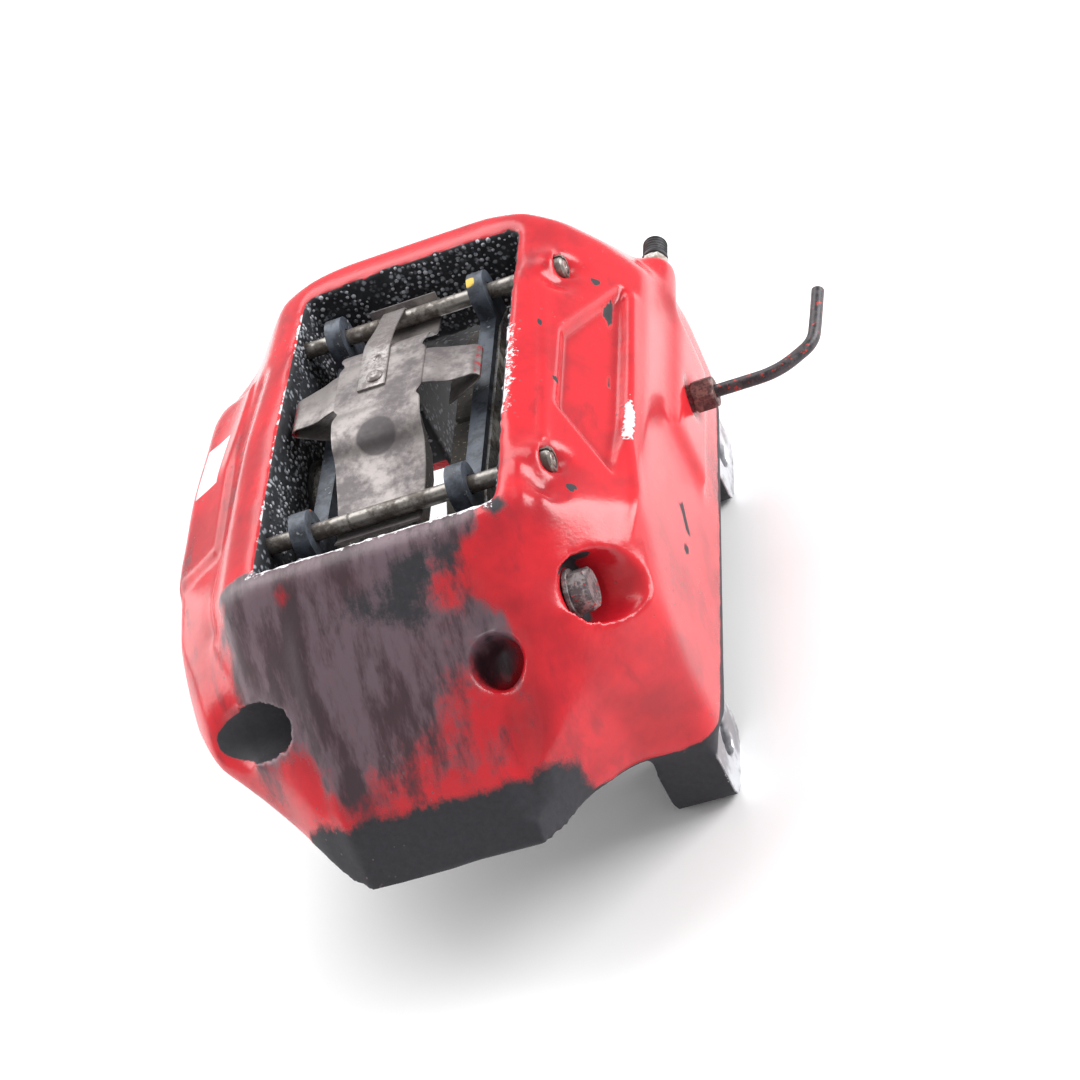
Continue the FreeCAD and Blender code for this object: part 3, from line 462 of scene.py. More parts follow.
class Skin:
    """A dense mesh as arrays, in millimetres from the layout's zero."""

    def __init__(self, piece):
        self.piece = piece
        mesh = piece.data
        count = len(mesh.vertices)
        flat = np.empty(count * 3)
        mesh.vertices.foreach_get("co", flat)
        self.points = (flat.reshape(-1, 3) - np.array(ZERO)) / MM
        pairs = np.empty(len(mesh.edges) * 2, np.int32)
        mesh.edges.foreach_get("vertices", pairs)
        self.edges = pairs.reshape(-1, 2)
        self.count = np.maximum(np.bincount(self.edges.ravel(), minlength=count), 1)

    def write(self):
        self.piece.data.vertices.foreach_set("co", (self.points * MM + np.array(ZERO)).ravel())
        self.piece.data.update()

    def normals(self):
        self.write()
        flat = np.empty(len(self.points) * 3)
        self.piece.data.vertex_normals.foreach_get("vector", flat)
        return flat.reshape(-1, 3)

    def mean(self, values):
        """The mean of each point's neighbours along the edges."""
        columns = values.reshape(len(values), -1)
        total = np.zeros_like(columns)
        here, there = self.edges.T
        for column in range(columns.shape[1]):
            total[:, column] = (np.bincount(here, columns[there, column], len(values))
                                + np.bincount(there, columns[here, column], len(values)))
            total[:, column] /= self.count
        return total.reshape(values.shape)

    def relax(self, weight, rounds):
        share = (weight * 0.5)[:, None]
        for _ in range(rounds):
            self.points += share * (self.mean(self.points) - self.points)

    def spread(self, values, rounds):
        for _ in range(rounds):
            values = 0.5 * values + 0.5 * self.mean(values)
        return values

    def store(self, name, values):
        layer = self.piece.data.attributes.new(name, "FLOAT", "POINT")
        layer.data.foreach_set("value", np.clip(values, 0, 1).astype(np.float32))


# places in millimetres from the layout's zero; a pair is (y, z)
WINDOW = (-41.0, 43.0, 78.0)
LUG_FACE_X = 78.0
LUG_MIDDLE = (-5.5, -109.0)
LUG_HALF_SPACING = 78.5
SLOT_HALF_WIDTH = 17.5
DISC_CENTRE_Z = -187.0
DISC_SLOT_RADIUS = 179.0
BORE_ROWS = ((-41.5, 15.0), (0.0, 17.0), (41.5, 19.0))
BORE_Z = -33.0
CORE_POCKET = (-107.0, -33.0)
BOLT_SEAT = (57.0, -94.0, -24.5)
BOLT_RECESS_RADIUS = 11.5
DOWEL_HOLE = (32.5, -116.0, -22.0)
DOWEL_RADIUS = 8.5
PIN_Y = 55.6
BLEED_SEATS = {"inboard": (78, 98, -39), "outboard": (-76, 112, -50)}
PORT = (86, 38, -58)


def off_axis(points, centre):
    """Distance from a line along X through the given (y, z)."""
    return np.hypot(points[:, 1] - centre[0], points[:, 2] - centre[1])


def wall_masks(points, normals):
    """Which points lie on the window's walls, and which inside the cavity, slot and bores."""
    x, y, z = points.T
    low, high, half = WINDOW
    inside_window = (x > low - 1.3) & (x < high + 1.3) & (np.abs(y) < half + 1.3) & (z > -32)
    wall = inside_window & (normals[:, 2] < 0.75)
    below = (np.abs(x) < 42) & (np.abs(y) < 67) & (z < -28) & (z > -70)
    slot = np.abs(x) < SLOT_HALF_WIDTH + 1.2
    slot &= off_axis(points, (0, DISC_CENTRE_Z)) < DISC_SLOT_RADIUS + 1.2
    bores = np.zeros(len(points), bool)
    for centre, radius in BORE_ROWS:
        bores |= (off_axis(points, (centre, BORE_Z)) < radius + 0.8) & (np.abs(x) < 71.5) & (np.abs(x) > 39)
    return wall, below | slot | bores


def crisp_edges(points):
    """How far the cast skin's softening is held back, near the edges that stay sharp."""
    x, y, z = points.T
    foot = smoothstep(-60, -66, z) * smoothstep(96, 102, np.abs(y)) * smoothstep(44, 36, np.abs(x))
    core = smoothstep(4.5, 2.5, np.abs(off_axis(points, CORE_POCKET) - 9.5)) * smoothstep(-34, -38, x)
    core *= smoothstep(-64, -60, x)
    rim = np.abs(off_axis(points, BOLT_SEAT[1:]) - BOLT_RECESS_RADIUS)
    recess = smoothstep(3.5, 2.0, rim) * smoothstep(54, 57, x)
    lug = smoothstep(-96, -102, z) * smoothstep(50, 56, x)
    return np.maximum.reduce([foot, core, recess * 0.85, lug])


def machined_mask(points, normals):
    """The lugs' machined faces and holes."""
    x, y, z = points.T
    face = (x > LUG_FACE_X - 1.0) & (x < LUG_FACE_X + 0.8) & (z < -99.5) & (normals[:, 0] > 0.5)
    hole = (np.hypot(np.abs(y - LUG_MIDDLE[0]) - LUG_HALF_SPACING, z - LUG_MIDDLE[1]) < 7.4) & (x > 50)
    return face | hole


POCKET = [(60, 17), (68.5, 38.6), (75, 55), (77.5, 52), (77.5, -20), (75.4, -53), (60, -26)]


def sculpt(skin, keep):
    """Adds the casting's ridges, pockets and pads to its plain skin."""
    p = skin.points
    n = skin.normals()
    free = 1 - keep
    x, y, z = p.T
    move = np.zeros_like(p)
    slope = np.array([0.7071, 0, 0.7071])
    on_slope = free * smoothstep(48, 54, x + z) * smoothstep(45, 50, x)
    # the triangular pocket between the two shoulder ridges on the inboard side
    move -= np.outer(3.6 * smoothstep(-0.6, 2.2, depth_in(POCKET, x, y)) * on_slope, slope)
    # hollows beside the pin bosses
    for depth, centre, radii in ((4.0, (59, -68.5, 2), (5, 6, 9)), (3.0, (59, 45.5, 2), (4.5, 5, 9))):
        move -= np.outer(depth * bump_at(p, centre, radii) * free, slope)
    # ridges along the shoulders
    ridges = (
        ([(54.3, 41.4, 6.7), (56.3, -4.8, 4.7), (57.4, -47, 3.6)], 1.3, 2.2),
        ([(50, -62, 8), (52.2, -66, 8), (53.6, -89, 5), (57, -101, -2)], 1.4, 2.2),
        ([(58.8, -75, 2.2), (60.3, -98, -3)], 1.2, 2.0),
        ([(78, 50, -17), (78.7, 5.5, -17.7), (79, -32, -18), (81, -56, -21), (78, -86, -22)], 1.4,
         2.6),
    )
    for path, height, width in ridges:
        away = distance_to_path(path, p)
        move += np.outer(height * np.exp(-(away / width) ** 2) * free, (0.55, 0, 0.83))
    # bridge at the near end: a valley at the dowel hole with a swelling to each side of it
    end = smoothstep(-92, -106, y) * free * (n[:, 2] > 0.05)
    for height, middle, width in ((-3.0, 31.5, 5.5), (2.2, 46, 8), (1.3, -29, 4)):
        move += np.outer(height * np.exp(-((x - middle) / width) ** 2) * end, (0, -0.45, 0.89))
    # raised label pad and the valley beside it, outboard
    outer = free * smoothstep(-55, -60, x) * (n[:, 2] > 0.1)
    pad = smoothstep(-1.5, 2.0, depth_in([(-90, -48), (-66, -42), (-64, 52), (-90, 58)], x, y))
    move += np.outer(1.8 * pad * outer, (0, 0, 1))
    valley = distance_to_path([(-58, 40, 4), (-60, 0, 2), (-62, -40, -4), (-66, -72, -14)], p)
    move -= np.outer(2.2 * np.exp(-(valley / 5.0) ** 2) * free, (-0.3, 0, 0.95))
    # the dowel hole's rim and the nub beside it
    rim = np.linalg.norm(p - np.array(DOWEL_HOLE), axis=1) - DOWEL_RADIUS
    move += np.outer(1.4 * np.exp(-(rim / 1.6) ** 2) * free, (0, -0.5, 0.86))
    move += np.outer(2.2 * bump_at(p, (43.5, -117, -21), (2.4, 2.4, 4)) * free, (0, -0.5, 0.86))
    skin.points = p + move


def casting_piece(look):
    piece = copy_of_node("caliper_body", "caliper_casting")
    tree = BVHTree.FromPolygons([v.co for v in piece.data.vertices],
                                [f.vertices for f in piece.data.polygons])
    voxels = piece.modifiers.new("voxels", "REMESH")
    voxels.mode = "VOXEL"
    voxels.voxel_size = look.grain_size
    bake(piece)
    skin = Skin(piece)
    normals = skin.normals()
    wall, hidden = wall_masks(skin.points, normals)
    bare = machined_mask(skin.points, normals)
    keep = np.maximum(skin.spread(np.where(bare | hidden, 1.0, 0.0), 2), crisp_edges(skin.points))
    rim = skin.spread(np.where(wall, 1.0, 0.0), 2)
    skin.relax((1 - keep) * (1 - 0.8 * rim), look.casting_rounds)
    sculpt(skin, np.maximum(keep, rim))
    skin.relax((1 - keep) * (1 - 0.8 * rim), 3)
    # machined faces go back to their exact place
    skin.write()
    for index in np.flatnonzero(bare):
        found = tree.find_nearest(piece.data.vertices[index].co)
        skin.points[index] = (np.array(found[0]) - np.array(ZERO)) / MM
    # corroded walls
    normals = skin.normals()
    rough = grain(skin.points, 2.6, 3) * 0.6 + grain(skin.points, 5.5, 5) * 0.5
    skin.points += normals * (rough * rim * 0.75)[:, None]
    low, high = box_mm("caliper_body")
    skin.points = np.clip(skin.points, np.array(low), np.array(high))
    skin.write()
    thin = piece.modifiers.new("thin", "DECIMATE")
    thin.ratio = min(1.0, look.casting_faces / (2 * len(piece.data.polygons)))
    bake(piece)
    paint_casting(Skin(piece))
    return piece


CRACK = [(45, 16.6, 15.7), (48.4, 22, 12.6), (51.4, 25.4, 9.6), (53.5, 21, 7.5), (54.8, 15.5, 6.2)]
SLIT = [(82, -21.5, -58.4), (82, -42.3, -62.5)]


def paint_casting(skin):
    """Stores where the casting is worn, sooty, dusty, rotten or bare, and where shade is painted on it."""
    p = skin.points
    normals = skin.normals()
    x, y, z = p.T
    wall, hidden = wall_masks(p, normals)
    bare = machined_mask(p, normals)
    soft = skin.spread(p, 5)
    stand = ((p - soft) * normals).sum(1)
    edge = skin.spread(np.clip(stand * 2.6, 0, 1), 1)
    # painted shade: how deep each point lies in a hollow of the skin
    deep = skin.spread(p, 26)
    hollow = skin.spread(np.clip(((deep - p) * normals).sum(1) * 0.7 - 0.15, 0, 1), 2)
    rot = np.clip(skin.spread(np.where(wall, 1.0, 0.0), 1) * 1.4, 0, 1)
    # painted shade: the cavity, slot and bores are darkened like the rotten walls
    inside = skin.spread(np.where(hidden, 1.0, 0.0), 1)
    # the bridge over the disc at the near end is greyest near the window and black at its foot, the black
    # partly grime and partly painted shade on the face turned away from the lamps
    wander = grain(p, 15.0, 21) + 0.5 * grain(p, 6.0, 22)
    near = smoothstep(-74, -79, y) * smoothstep(46, 26, x + 9 * wander)
    near *= smoothstep(-64, -46, x + 6 * wander)
    low_edge = [(-38, -150, -74), (38, -151, -73)]
    soot = 1.3 * smoothstep(40, 5, distance_to_path(low_edge, p))
    # dark patches listed one by one, mostly grime; the long one at (-60, -20, 2) is painted shadow in the
    # valley beside the label pad
    for centre, radii, amount in (
        ((-6, -97, -6), (34, 15, 13), 0.62), ((14, -104, -14), (14, 20, 14), 0.3),
        ((22, -90, 4), (22, 8, 9), 0.5), ((70, -90, -112), (16, 26, 22), 1.0),
        ((68, 74, -112), (16, 26, 22), 0.8), ((-66, -100, -48), (10, 12, 12), 0.6),
        ((-60, -20, 2), (7, 46, 9), 0.62), ((-50, -84, -4), (9, 12, 10), 0.5),
        ((36, -122, -32), (7, 9, 9), 0.5), ((44, -80, 8), (7, 7, 6), 0.45),
        ((56, -118, -46), (14, 12, 12), 0.4), ((-80, -70, -50), (14, 30, 14), 0.3),
        ((30, -74, 10), (16, 8, 6), 0.55), ((-8, -82, 9), (40, 5, 7), 0.4),
    ):
        soot += amount * bump_at(p, centre, radii)
    # painted shade: faces turned downwards are darker
    soot += 0.8 * smoothstep(-0.2, -0.8, normals[:, 2])
    # painted shade inside the core pocket and the bolt recess
    soot += 1.3 * smoothstep(10.5, 8.5, off_axis(p, CORE_POCKET)) * smoothstep(-38, -40, x)
    recess = smoothstep(56, 58, x) * smoothstep(72, 62, x)
    soot += 1.1 * smoothstep(12.0, 10.5, off_axis(p, BOLT_SEAT[1:])) * recess
    # painted shade: the crack and the slit are dark lines where no groove is cut
    for path, width in ((CRACK, 0.9), (SLIT, 1.3)):
        soot += 2.0 * smoothstep(width + 0.5, width, distance_to_path(path, p))
    for spot, radius in (
        ((49, -5, 11.6), 1.4), ((60, -13, 1), 1.3), ((65, -67, -4), 1.5), ((68.5, 51.5, -7.5), 1.5),
    ):
        soot += 2.0 * smoothstep(radius + 0.7, radius, np.linalg.norm(p - np.array(spot), axis=1))
    dust = 0.14 + 0.5 * near * smoothstep(-62, -30, z) + 0.18 * near + 0.2 * smoothstep(-44, -60, x)
    dust -= 0.2 * smoothstep(38, 48, x)
    for centre, radii, amount in (
        ((24, -100, -4), (7, 9, 9), 0.4), ((22, -120, -38), (13, 12, 17), 0.45),
        ((-42, -122, -46), (9, 16, 18), 0.4), ((2, -128, -46), (9, 9, 12), 0.25),
        ((-30, -88, 3), (4, 7, 5), 0.45), ((34, -92, 2), (5, 9, 8), 0.35),
    ):
        dust -= amount * bump_at(p, centre, radii)
    pale = bump_at(p, (78, -24, -16), (5, 13, 7)) * 1.4 + 0.7 * bump_at(p, (45, -4, 8), (4, 22, 6))
    pale += 1.0 * smoothstep(6, 1, np.abs(y + 79)) * (np.abs(x) < 44) * (z > 2)
    pale += 0.6 * smoothstep(4, 1, np.abs(x + 42)) * (np.abs(y) < 80) * (z > -2)
    pale += 1.1 * smoothstep(7, 1, np.abs(x - 45.5)) * (np.abs(y + 8) < 26) * (z > 4)
    lug_side = smoothstep(-88, -98, z) * smoothstep(50, 58, x) * (1 - bare)
    soot += 1.0 * lug_side
    grit = np.where(wall & (np.abs(normals[:, 2]) < 0.6) & (z > -24), 1.0, 0.0)
    amount = grain(p, 13.0, 11) + 0.45 * smoothstep(0, 60, y) + 0.3 * smoothstep(-10, -30, x)
    grit *= smoothstep(-0.15, 0.5, amount)
    # the rot layer joins the black rot of the window's walls with painted shade inside the cavity, slot and
    # bores
    layers = {"edge": edge, "soot": soot, "dust": dust, "rot": np.maximum(rot, inside * 0.9),
              "bare": np.where(bare, 1.0, 0.0), "pale": pale, "hollow": hollow, "grit": grit}
    for name, values in layers.items():
        skin.store(name, values)


# ---------------------------------------------------------------- turned, swept and folded parts


def smooth_run(points, step):
    """A smooth run through the given points, in pieces of about the given length."""
    points = [np.array(point, float) for point in points]
    ends = [2 * points[0] - points[1], *points, 2 * points[-1] - points[-2]]
    run = []
    for a, b, c, d in zip(ends, ends[1:], ends[2:], ends[3:]):
        count = max(2, int(np.linalg.norm(c - b) / step))
        for share in np.arange(count) / count:
            run.append(0.5 * (2 * b + (c - a) * share + (2 * a - 5 * b + 4 * c - d) * share ** 2
                              + (3 * b - a - 3 * c + d) * share ** 3))
    return np.array([*run, points[-1]])


def rounded(profile, radius, closed=False):
    """An outline whose corners are replaced by short curves."""
    points = [np.array(point, float) for point in profile]
    count = len(points)
    result = []
    for index, corner in enumerate(points):
        if not closed and index in (0, count - 1):
            result.append(corner)
            continue
        before, after = points[index - 1], points[(index + 1) % count]
        start, end = (corner + (other - corner) * min(radius / np.linalg.norm(other - corner), 0.45)
                      for other in (before, after))
        result += [bent(start, corner, end, share) for share in (0.0, 0.33, 0.67, 1.0)]
    return result


AXES = {
    "x": (Vector((1, 0, 0)), Vector((0, 1, 0)), Vector((0, 0, 1))),
    "y": (Vector((0, 1, 0)), Vector((0, 0, 1)), Vector((1, 0, 0))),
    "z": (Vector((0, 0, 1)), Vector((1, 0, 0)), Vector((0, 1, 0))),
}


def turned(name, profile, centre, axis, flats=0.0, hexed=(0, 0), steps=72, closed=False):
    """A turned part from (along, radius) points; between two stations it may be cut to a hexagon."""
    along, first, second = AXES[axis]
    vertices = []
    for station, radius in profile:
        for index in range(steps):
            turn = 2 * math.pi * index / steps
            reach = radius
            if flats and hexed[0] <= station <= hexed[1]:
                off = (turn + math.pi / 6) % (math.pi / 3) - math.pi / 6
                reach = min(radius, flats / 2 / math.cos(off))
            vertices.append(lay(*centre) + (along * station + first * reach * math.cos(turn)
                                            + second * reach * math.sin(turn)) * MM)
    return outward(new_piece(name, vertices, ring_faces(len(profile), steps, closed)))


def sheet_piece(name, path, sides, thickness, across):
    """A bent sheet with rounded edges, along a path in (u, v), between two sides."""
    flow = np.gradient(path, axis=0)
    flow /= np.linalg.norm(flow, axis=1)[:, None]
    half = thickness / 2
    turns = np.radians([90, 45, 0, -45, -90, -90, -135, -180, -225, -270])
    vertices = []
    for (u, v), (flow_u, flow_v), (low, high) in zip(path, flow, sides):
        for index, turn in enumerate(turns):
            wide = (high - half if index < 5 else low + half) + half * math.cos(turn)
            lift = half * math.sin(turn)
            place = (u - flow_v * lift, v + flow_u * lift)
            vertices.append(lay(wide, *place) if across == "x" else lay(place[0], wide, place[1]))
    count = len(turns)
    ends = [tuple(range(count)), tuple(range((len(path) - 1) * count, len(path) * count))]
    return outward(new_piece(name, vertices, ring_faces(len(path), count) + ends))


def tube(name, path, outer, inner, steps=28):
    """A pipe with a bore, swept along a run of points in millimetres."""
    flow = np.gradient(path, axis=0)
    flow /= np.linalg.norm(flow, axis=1)[:, None]
    first = np.cross(flow, (0, 0, 1.0))
    first /= np.linalg.norm(first, axis=1)[:, None]
    second = np.cross(flow, first)
    vertices = []
    for radius in (outer, inner):
        for point, side, up in zip(path, first, second):
            for turn in np.arange(steps) * 2 * math.pi / steps:
                vertices.append(lay(*(point + radius * (side * math.cos(turn) + up * math.sin(turn)))))
    rings = len(path)
    faces = ring_faces(rings, steps) + ring_faces(rings, steps, first=rings * steps)
    for ring in (0, rings - 1):
        for index in range(steps):
            beside = (index + 1) % steps
            outside, inside = ring * steps, (rings + ring) * steps
            faces.append((outside + index, outside + beside, inside + beside, inside + index))
    return outward(new_piece(name, vertices, faces))


def softened(node, name, width, segments=3):
    """A copy of an engineering node with its sharp edges rounded."""
    piece = copy_of_node(node, name)
    flat = piece.modifiers.new("flat", "DECIMATE")
    flat.decimate_type = "DISSOLVE"
    flat.angle_limit = math.radians(1.0)
    bake(piece)
    soft = piece.modifiers.new("soft", "BEVEL")
    soft.width = width * MM
    soft.segments = segments
    soft.limit_method = "ANGLE"
    soft.angle_limit = math.radians(32)
    whole = piece.modifiers.new("whole", "TRIANGULATE")
    whole.quad_method = "BEAUTY"
    return outward(bake(piece))


def tree_with(name, sockets):
    """A geometry node tree with named inputs and one geometry output."""
    tree = bpy.data.node_groups.new(name, "GeometryNodeTree")
    tree.interface.new_socket("Geometry", in_out="OUTPUT", socket_type="NodeSocketGeometry")
    for label, kind in sockets.items():
        tree.interface.new_socket(label, in_out="INPUT", socket_type="NodeSocket" + kind)
    return tree, tree.nodes.new("NodeGroupInput").outputs


def node_in(tree, kind, inputs, **settings):
    """A new node whose inputs are plain values or the outputs of other nodes."""
    node = tree.nodes.new(kind)
    for key, value in settings.items():
        setattr(node, key, value)
    for key, value in inputs.items():
        if isinstance(value, bpy.types.NodeSocket):
            tree.links.new(value, node.inputs[key])
        else:
            node.inputs[key].default_value = value
    return node


def painted(tree, instances, material):
    """Ends a tree: its instances become one mesh of the given material."""
    real = node_in(tree, "GeometryNodeRealizeInstances", {0: instances.outputs[0]})
    paint = node_in(tree, "GeometryNodeSetMaterial", {"Geometry": real.outputs[0], "Material": material})
    node_in(tree, "NodeGroupOutput", {0: paint.outputs[0]})
    return tree


def grown(name, tree, values):
    """Evaluates a node tree on an empty piece and keeps the plain mesh it makes."""
    piece = new_piece(name, [], [])
    step = piece.modifiers.new("grown", "NODES")
    step.node_group = tree
    for item in tree.interface.items_tree:
        if item.in_out == "INPUT":
            step[item.identifier] = values[item.name]
    return bake(piece)


def rings_tree():
    """Round ribs in a row along Y."""
    tree, given = tree_with("rows_of_rings", {
        "Count": "Int", "Start": "Vector", "Pitch": "Vector", "Radius": "Float", "Rib": "Float",
        "Material": "Material"})
    row = node_in(tree, "GeometryNodeMeshLine", {
        "Count": given["Count"], "Start Location": given["Start"], "Offset": given["Pitch"]})
    ring = node_in(tree, "GeometryNodeCurvePrimitiveCircle", {"Resolution": 40, "Radius": given["Radius"]})
    rib = node_in(tree, "GeometryNodeCurvePrimitiveCircle", {"Resolution": 8, "Radius": given["Rib"]})
    body = node_in(tree, "GeometryNodeCurveToMesh", {"Curve": ring.outputs[0], "Profile Curve": rib.outputs[0]})
    spread = node_in(tree, "GeometryNodeInstanceOnPoints", {
        "Points": row.outputs[0], "Instance": body.outputs[0], "Rotation": (math.pi / 2, 0, 0)})
    return painted(tree, spread, given["Material"])


def granules_tree():
    """Squat grains scattered where a skin's stored attribute asks for them."""
    tree, given = tree_with("wall_granules", {
        "Skin": "Object", "Spacing": "Float", "Smallest": "Float", "Largest": "Float", "Seed": "Int",
        "Material": "Material"})
    skin = node_in(tree, "GeometryNodeObjectInfo", {"Object": given["Skin"]})
    share = node_in(tree, "GeometryNodeInputNamedAttribute", {"Name": "grit"}, data_type="FLOAT")
    scatter = node_in(tree, "GeometryNodeDistributePointsOnFaces", {
        "Mesh": skin.outputs["Geometry"], "Distance Min": given["Spacing"], "Density Max": 500000,
        "Density Factor": share.outputs["Attribute"], "Seed": given["Seed"]}, distribute_method="POISSON")
    body = node_in(tree, "GeometryNodeMeshIcoSphere", {"Subdivisions": 1, "Radius": 1.0})
    size = node_in(tree, "FunctionNodeRandomValue", {
        2: given["Smallest"], 3: given["Largest"], "Seed": given["Seed"]}, data_type="FLOAT")
    squat = node_in(tree, "ShaderNodeVectorMath", {0: size.outputs[1], 1: (1.0, 1.0, 0.55)},
                    operation="MULTIPLY")
    spread = node_in(tree, "GeometryNodeInstanceOnPoints", {
        "Points": scatter.outputs["Points"], "Rotation": scatter.outputs["Rotation"],
        "Scale": squat.outputs[0], "Instance": body.outputs["Mesh"]})
    return painted(tree, spread, given["Material"])


# ---------------------------------------------------------------- finishes of the fitted parts


def worn_metal(name, clean, dirty, size=6.0, metal=0.85, rough=(0.28, 0.6), dirt=0.5, specks=None):
    """Metal that is part clean and part stained, with fine scratches."""
    f = Finish(name)
    stain = f.noise(size, 5.0, 0.65)
    fine = f.noise(size / 5, 3.0, 0.6, shift=0.4)
    share = f.ramp(f.plus(f.times(stain, 0.7), f.times(fine, 0.3)),
                   dirt - 0.08, dirt + 0.08)
    colour = f.mix(share, clean, dirty)
    if specks is not None:
        colour = f.mix(f.ramp(f.noise(2.0, 2.0, 0.5, shift=1.3), 0.62, 0.68), colour, specks)
    bump = f.plus(fine, f.times(share, 0.5))
    return f.close(colour, f.blend(share, *rough), f.blend(share, metal, metal * 0.5), bump, 0.05)


def plate_finish():
    """Blue-grey painted backing plate, scuffed, with the odd dab of assembly paint."""
    f = Finish("blue_grey_plate")
    worn = f.noise(7.0, 5.0, 0.7)
    fine = f.noise(1.6, 3.0, 0.6)
    colour = f.mix(f.ramp(worn, 0.42, 0.6), (0.088, 0.102, 0.128), (0.04, 0.046, 0.058))
    scuff = f.ramp(f.plus(worn, f.times(fine, 0.6)), 0.96, 1.03)
    colour = f.mix(scuff, colour, (0.28, 0.29, 0.31))
    for centre, radius, paint in (
        ((26.0, 53, 8.0), 2.0, (0.62, 0.4, 0.05)), ((-27, -49, 6), 2.4, (0.5, 0.16, 0.06)),
    ):
        colour = f.mix(f.near_spot(centre, radius + 1.2, radius + 0.6, fine), colour, paint)
    return f.close(colour, f.blend(fine, 0.3, 0.6), 0.25, f.plus(worn, fine), 0.08)


def lining_finish():
    """Moulded friction lining with metal flecks."""
    f = Finish("friction_lining")
    fine = f.noise(1.8, 4.0, 0.7)
    colour = f.mix(fine, (0.03, 0.028, 0.026), (0.16, 0.145, 0.13))
    colour = f.mix(f.ramp(f.cells(1.7), 0.2, 0.12), colour, (0.42, 0.34, 0.22))
    return f.close(colour, 0.85, 0.0, fine, 0.15)


def spring_finish():
    """Brown-grey spring steel with darker stains, a dark round mark and red edges."""
    f = Finish("spring_steel")
    stain = f.noise(13.0, 5.0, 0.65, shift=0.35)
    fine = f.noise(2.2, 4.0, 0.65)
    share = f.ramp(f.plus(f.times(stain, 0.75), f.times(fine, 0.25)), 0.4, 0.62)
    colour = f.mix(share, (0.27, 0.245, 0.235), (0.12, 0.102, 0.105))
    colour = f.mix(f.near_spot((SPRING_X, -21.5, 6.8), 8.6, 7.4, fine, 0.8), colour, (0.05, 0.042, 0.045))
    tips = f.math("ABSOLUTE", f.minus(f.across(), lay(SPRING_X, 0, 0).x))
    red = f.times(f.ramp(tips, 33.0 * MM, 34.5 * MM), f.ramp(fine, 0.5, 0.6))
    colour = f.mix(red, colour, (0.4, 0.02, 0.03))
    return f.close(colour, f.blend(share, 0.38, 0.55), f.blend(share, 0.6, 0.35), fine, 0.04)


def granule_finish():
    """Pale grey oxide, sooty in parts."""
    f = Finish("oxide_crust")
    patch = f.noise(5.0, 3.0, 0.6, shift=0.6)
    colour = f.mix(f.ramp(patch, 0.4, 0.62), (0.05, 0.053, 0.062), (0.5, 0.51, 0.55))
    return f.close(colour, 0.7, 0.0, f.noise(0.9), 0.1)


def rubber_finish(name, dusty):
    f = Finish(name)
    bloom = f.noise(5.0, 4.0, 0.6)
    colour = f.mix(f.ramp(bloom, 0.45, 0.75), (0.012, 0.012, 0.014), dusty)
    return f.close(colour, f.blend(bloom, 0.42, 0.7), 0.0, f.noise(1.0), 0.04)


# ---------------------------------------------------------------- the fitted parts


def pad_pieces(side):
    body = side + "_pad"
    plate = softened("pad_plate_" + side, "plate_" + side, 0.9)
    settle(plate, body, plate_finish(), ["pad_plate_" + side], 40)
    lining = softened("pad_lining_" + side, "lining_" + side, 0.7, 2)
    settle(lining, body, lining_finish(), ["pad_lining_" + side], 40)


def pin_piece(name, y):
    profile = rounded([
        (-50, 0), (-50, 2.4), (-49.4, 3), (-12, 3), (-12, 2.65), (-11.2, 2.65), (-11.2, 3),
        (59.2, 3), (60, 2.2), (60, 1.1), (59.3, 0.7), (59.2, 0)], 0.25)
    return turned(name, profile, (0, y, 0), "x", steps=40)


SPRING_X = -3.0
RIVET_PLACE = (-4.5, 7, 0)
LEAF_PATH = [
    (-62.5, -2.2), (-59.5, -3.4), (-55.6, -3.7), (-40, -1.2), (-27, 2.9), (-22, 6.6), (-17, 8.7),
    (-11, 9.75), (-5, 10), (8, 10), (20, 10), (25, 9.6), (31, 6.4), (38, 1.2), (44, -2.5),
    (49.5, -3.6), (55.6, -3.8), (59.0, -3.1), (61.2, -0.8), (62.3, 3.0)]
WING_PATH = [
    (6, 10), (13, 9.85), (19, 8.8), (24, 7.1), (30, 6.1), (33.3, 5.7), (35.1, 4.3), (34.2, 2.6),
    (29.5, 0.8), (21.5, -2.2)]


def rivet_hole(z):
    """A tool that clears the rivet's shank at the given height."""
    return turned("hole", [(-2, 0), (-2, 1.85), (2, 1.85), (2, 0)], (*RIVET_PLACE[:2], z), "z", steps=24)


def spring_piece():
    """The cross-shaped leaf spring: a waisted long leaf and two folded wings."""
    path = smooth_run(LEAF_PATH, 1.2)
    sides = []
    for y, _ in path:
        taper = 1.2 * smoothstep(-30, -62, y) + 3.4 * smoothstep(26, 46, y)
        notch = 1.8 * (math.exp(-((y - 20.5) / 2.0) ** 2) + math.exp(-((y + 7.5) / 2.0) ** 2))
        half = 16.5 - taper - notch
        sides.append((SPRING_X - half, SPRING_X + half))
    whole = sheet_piece("leaf_spring", path, sides, 0.8, "x")
    for sign in (-1, 1):
        wing = smooth_run(WING_PATH, 0.8)
        taper = 1.6 * smoothstep(24, 36, wing[:, 0])
        ends = np.stack([-3.2 + taper, 16.8 - taper], 1)
        path = np.stack([SPRING_X + sign * wing[:, 0], wing[:, 1]], 1)
        whole = cut_by(whole, sheet_piece("wing", path, ends, 0.78, "y"), "UNION")
    return outward(cut_by(whole, rivet_hole(10)))


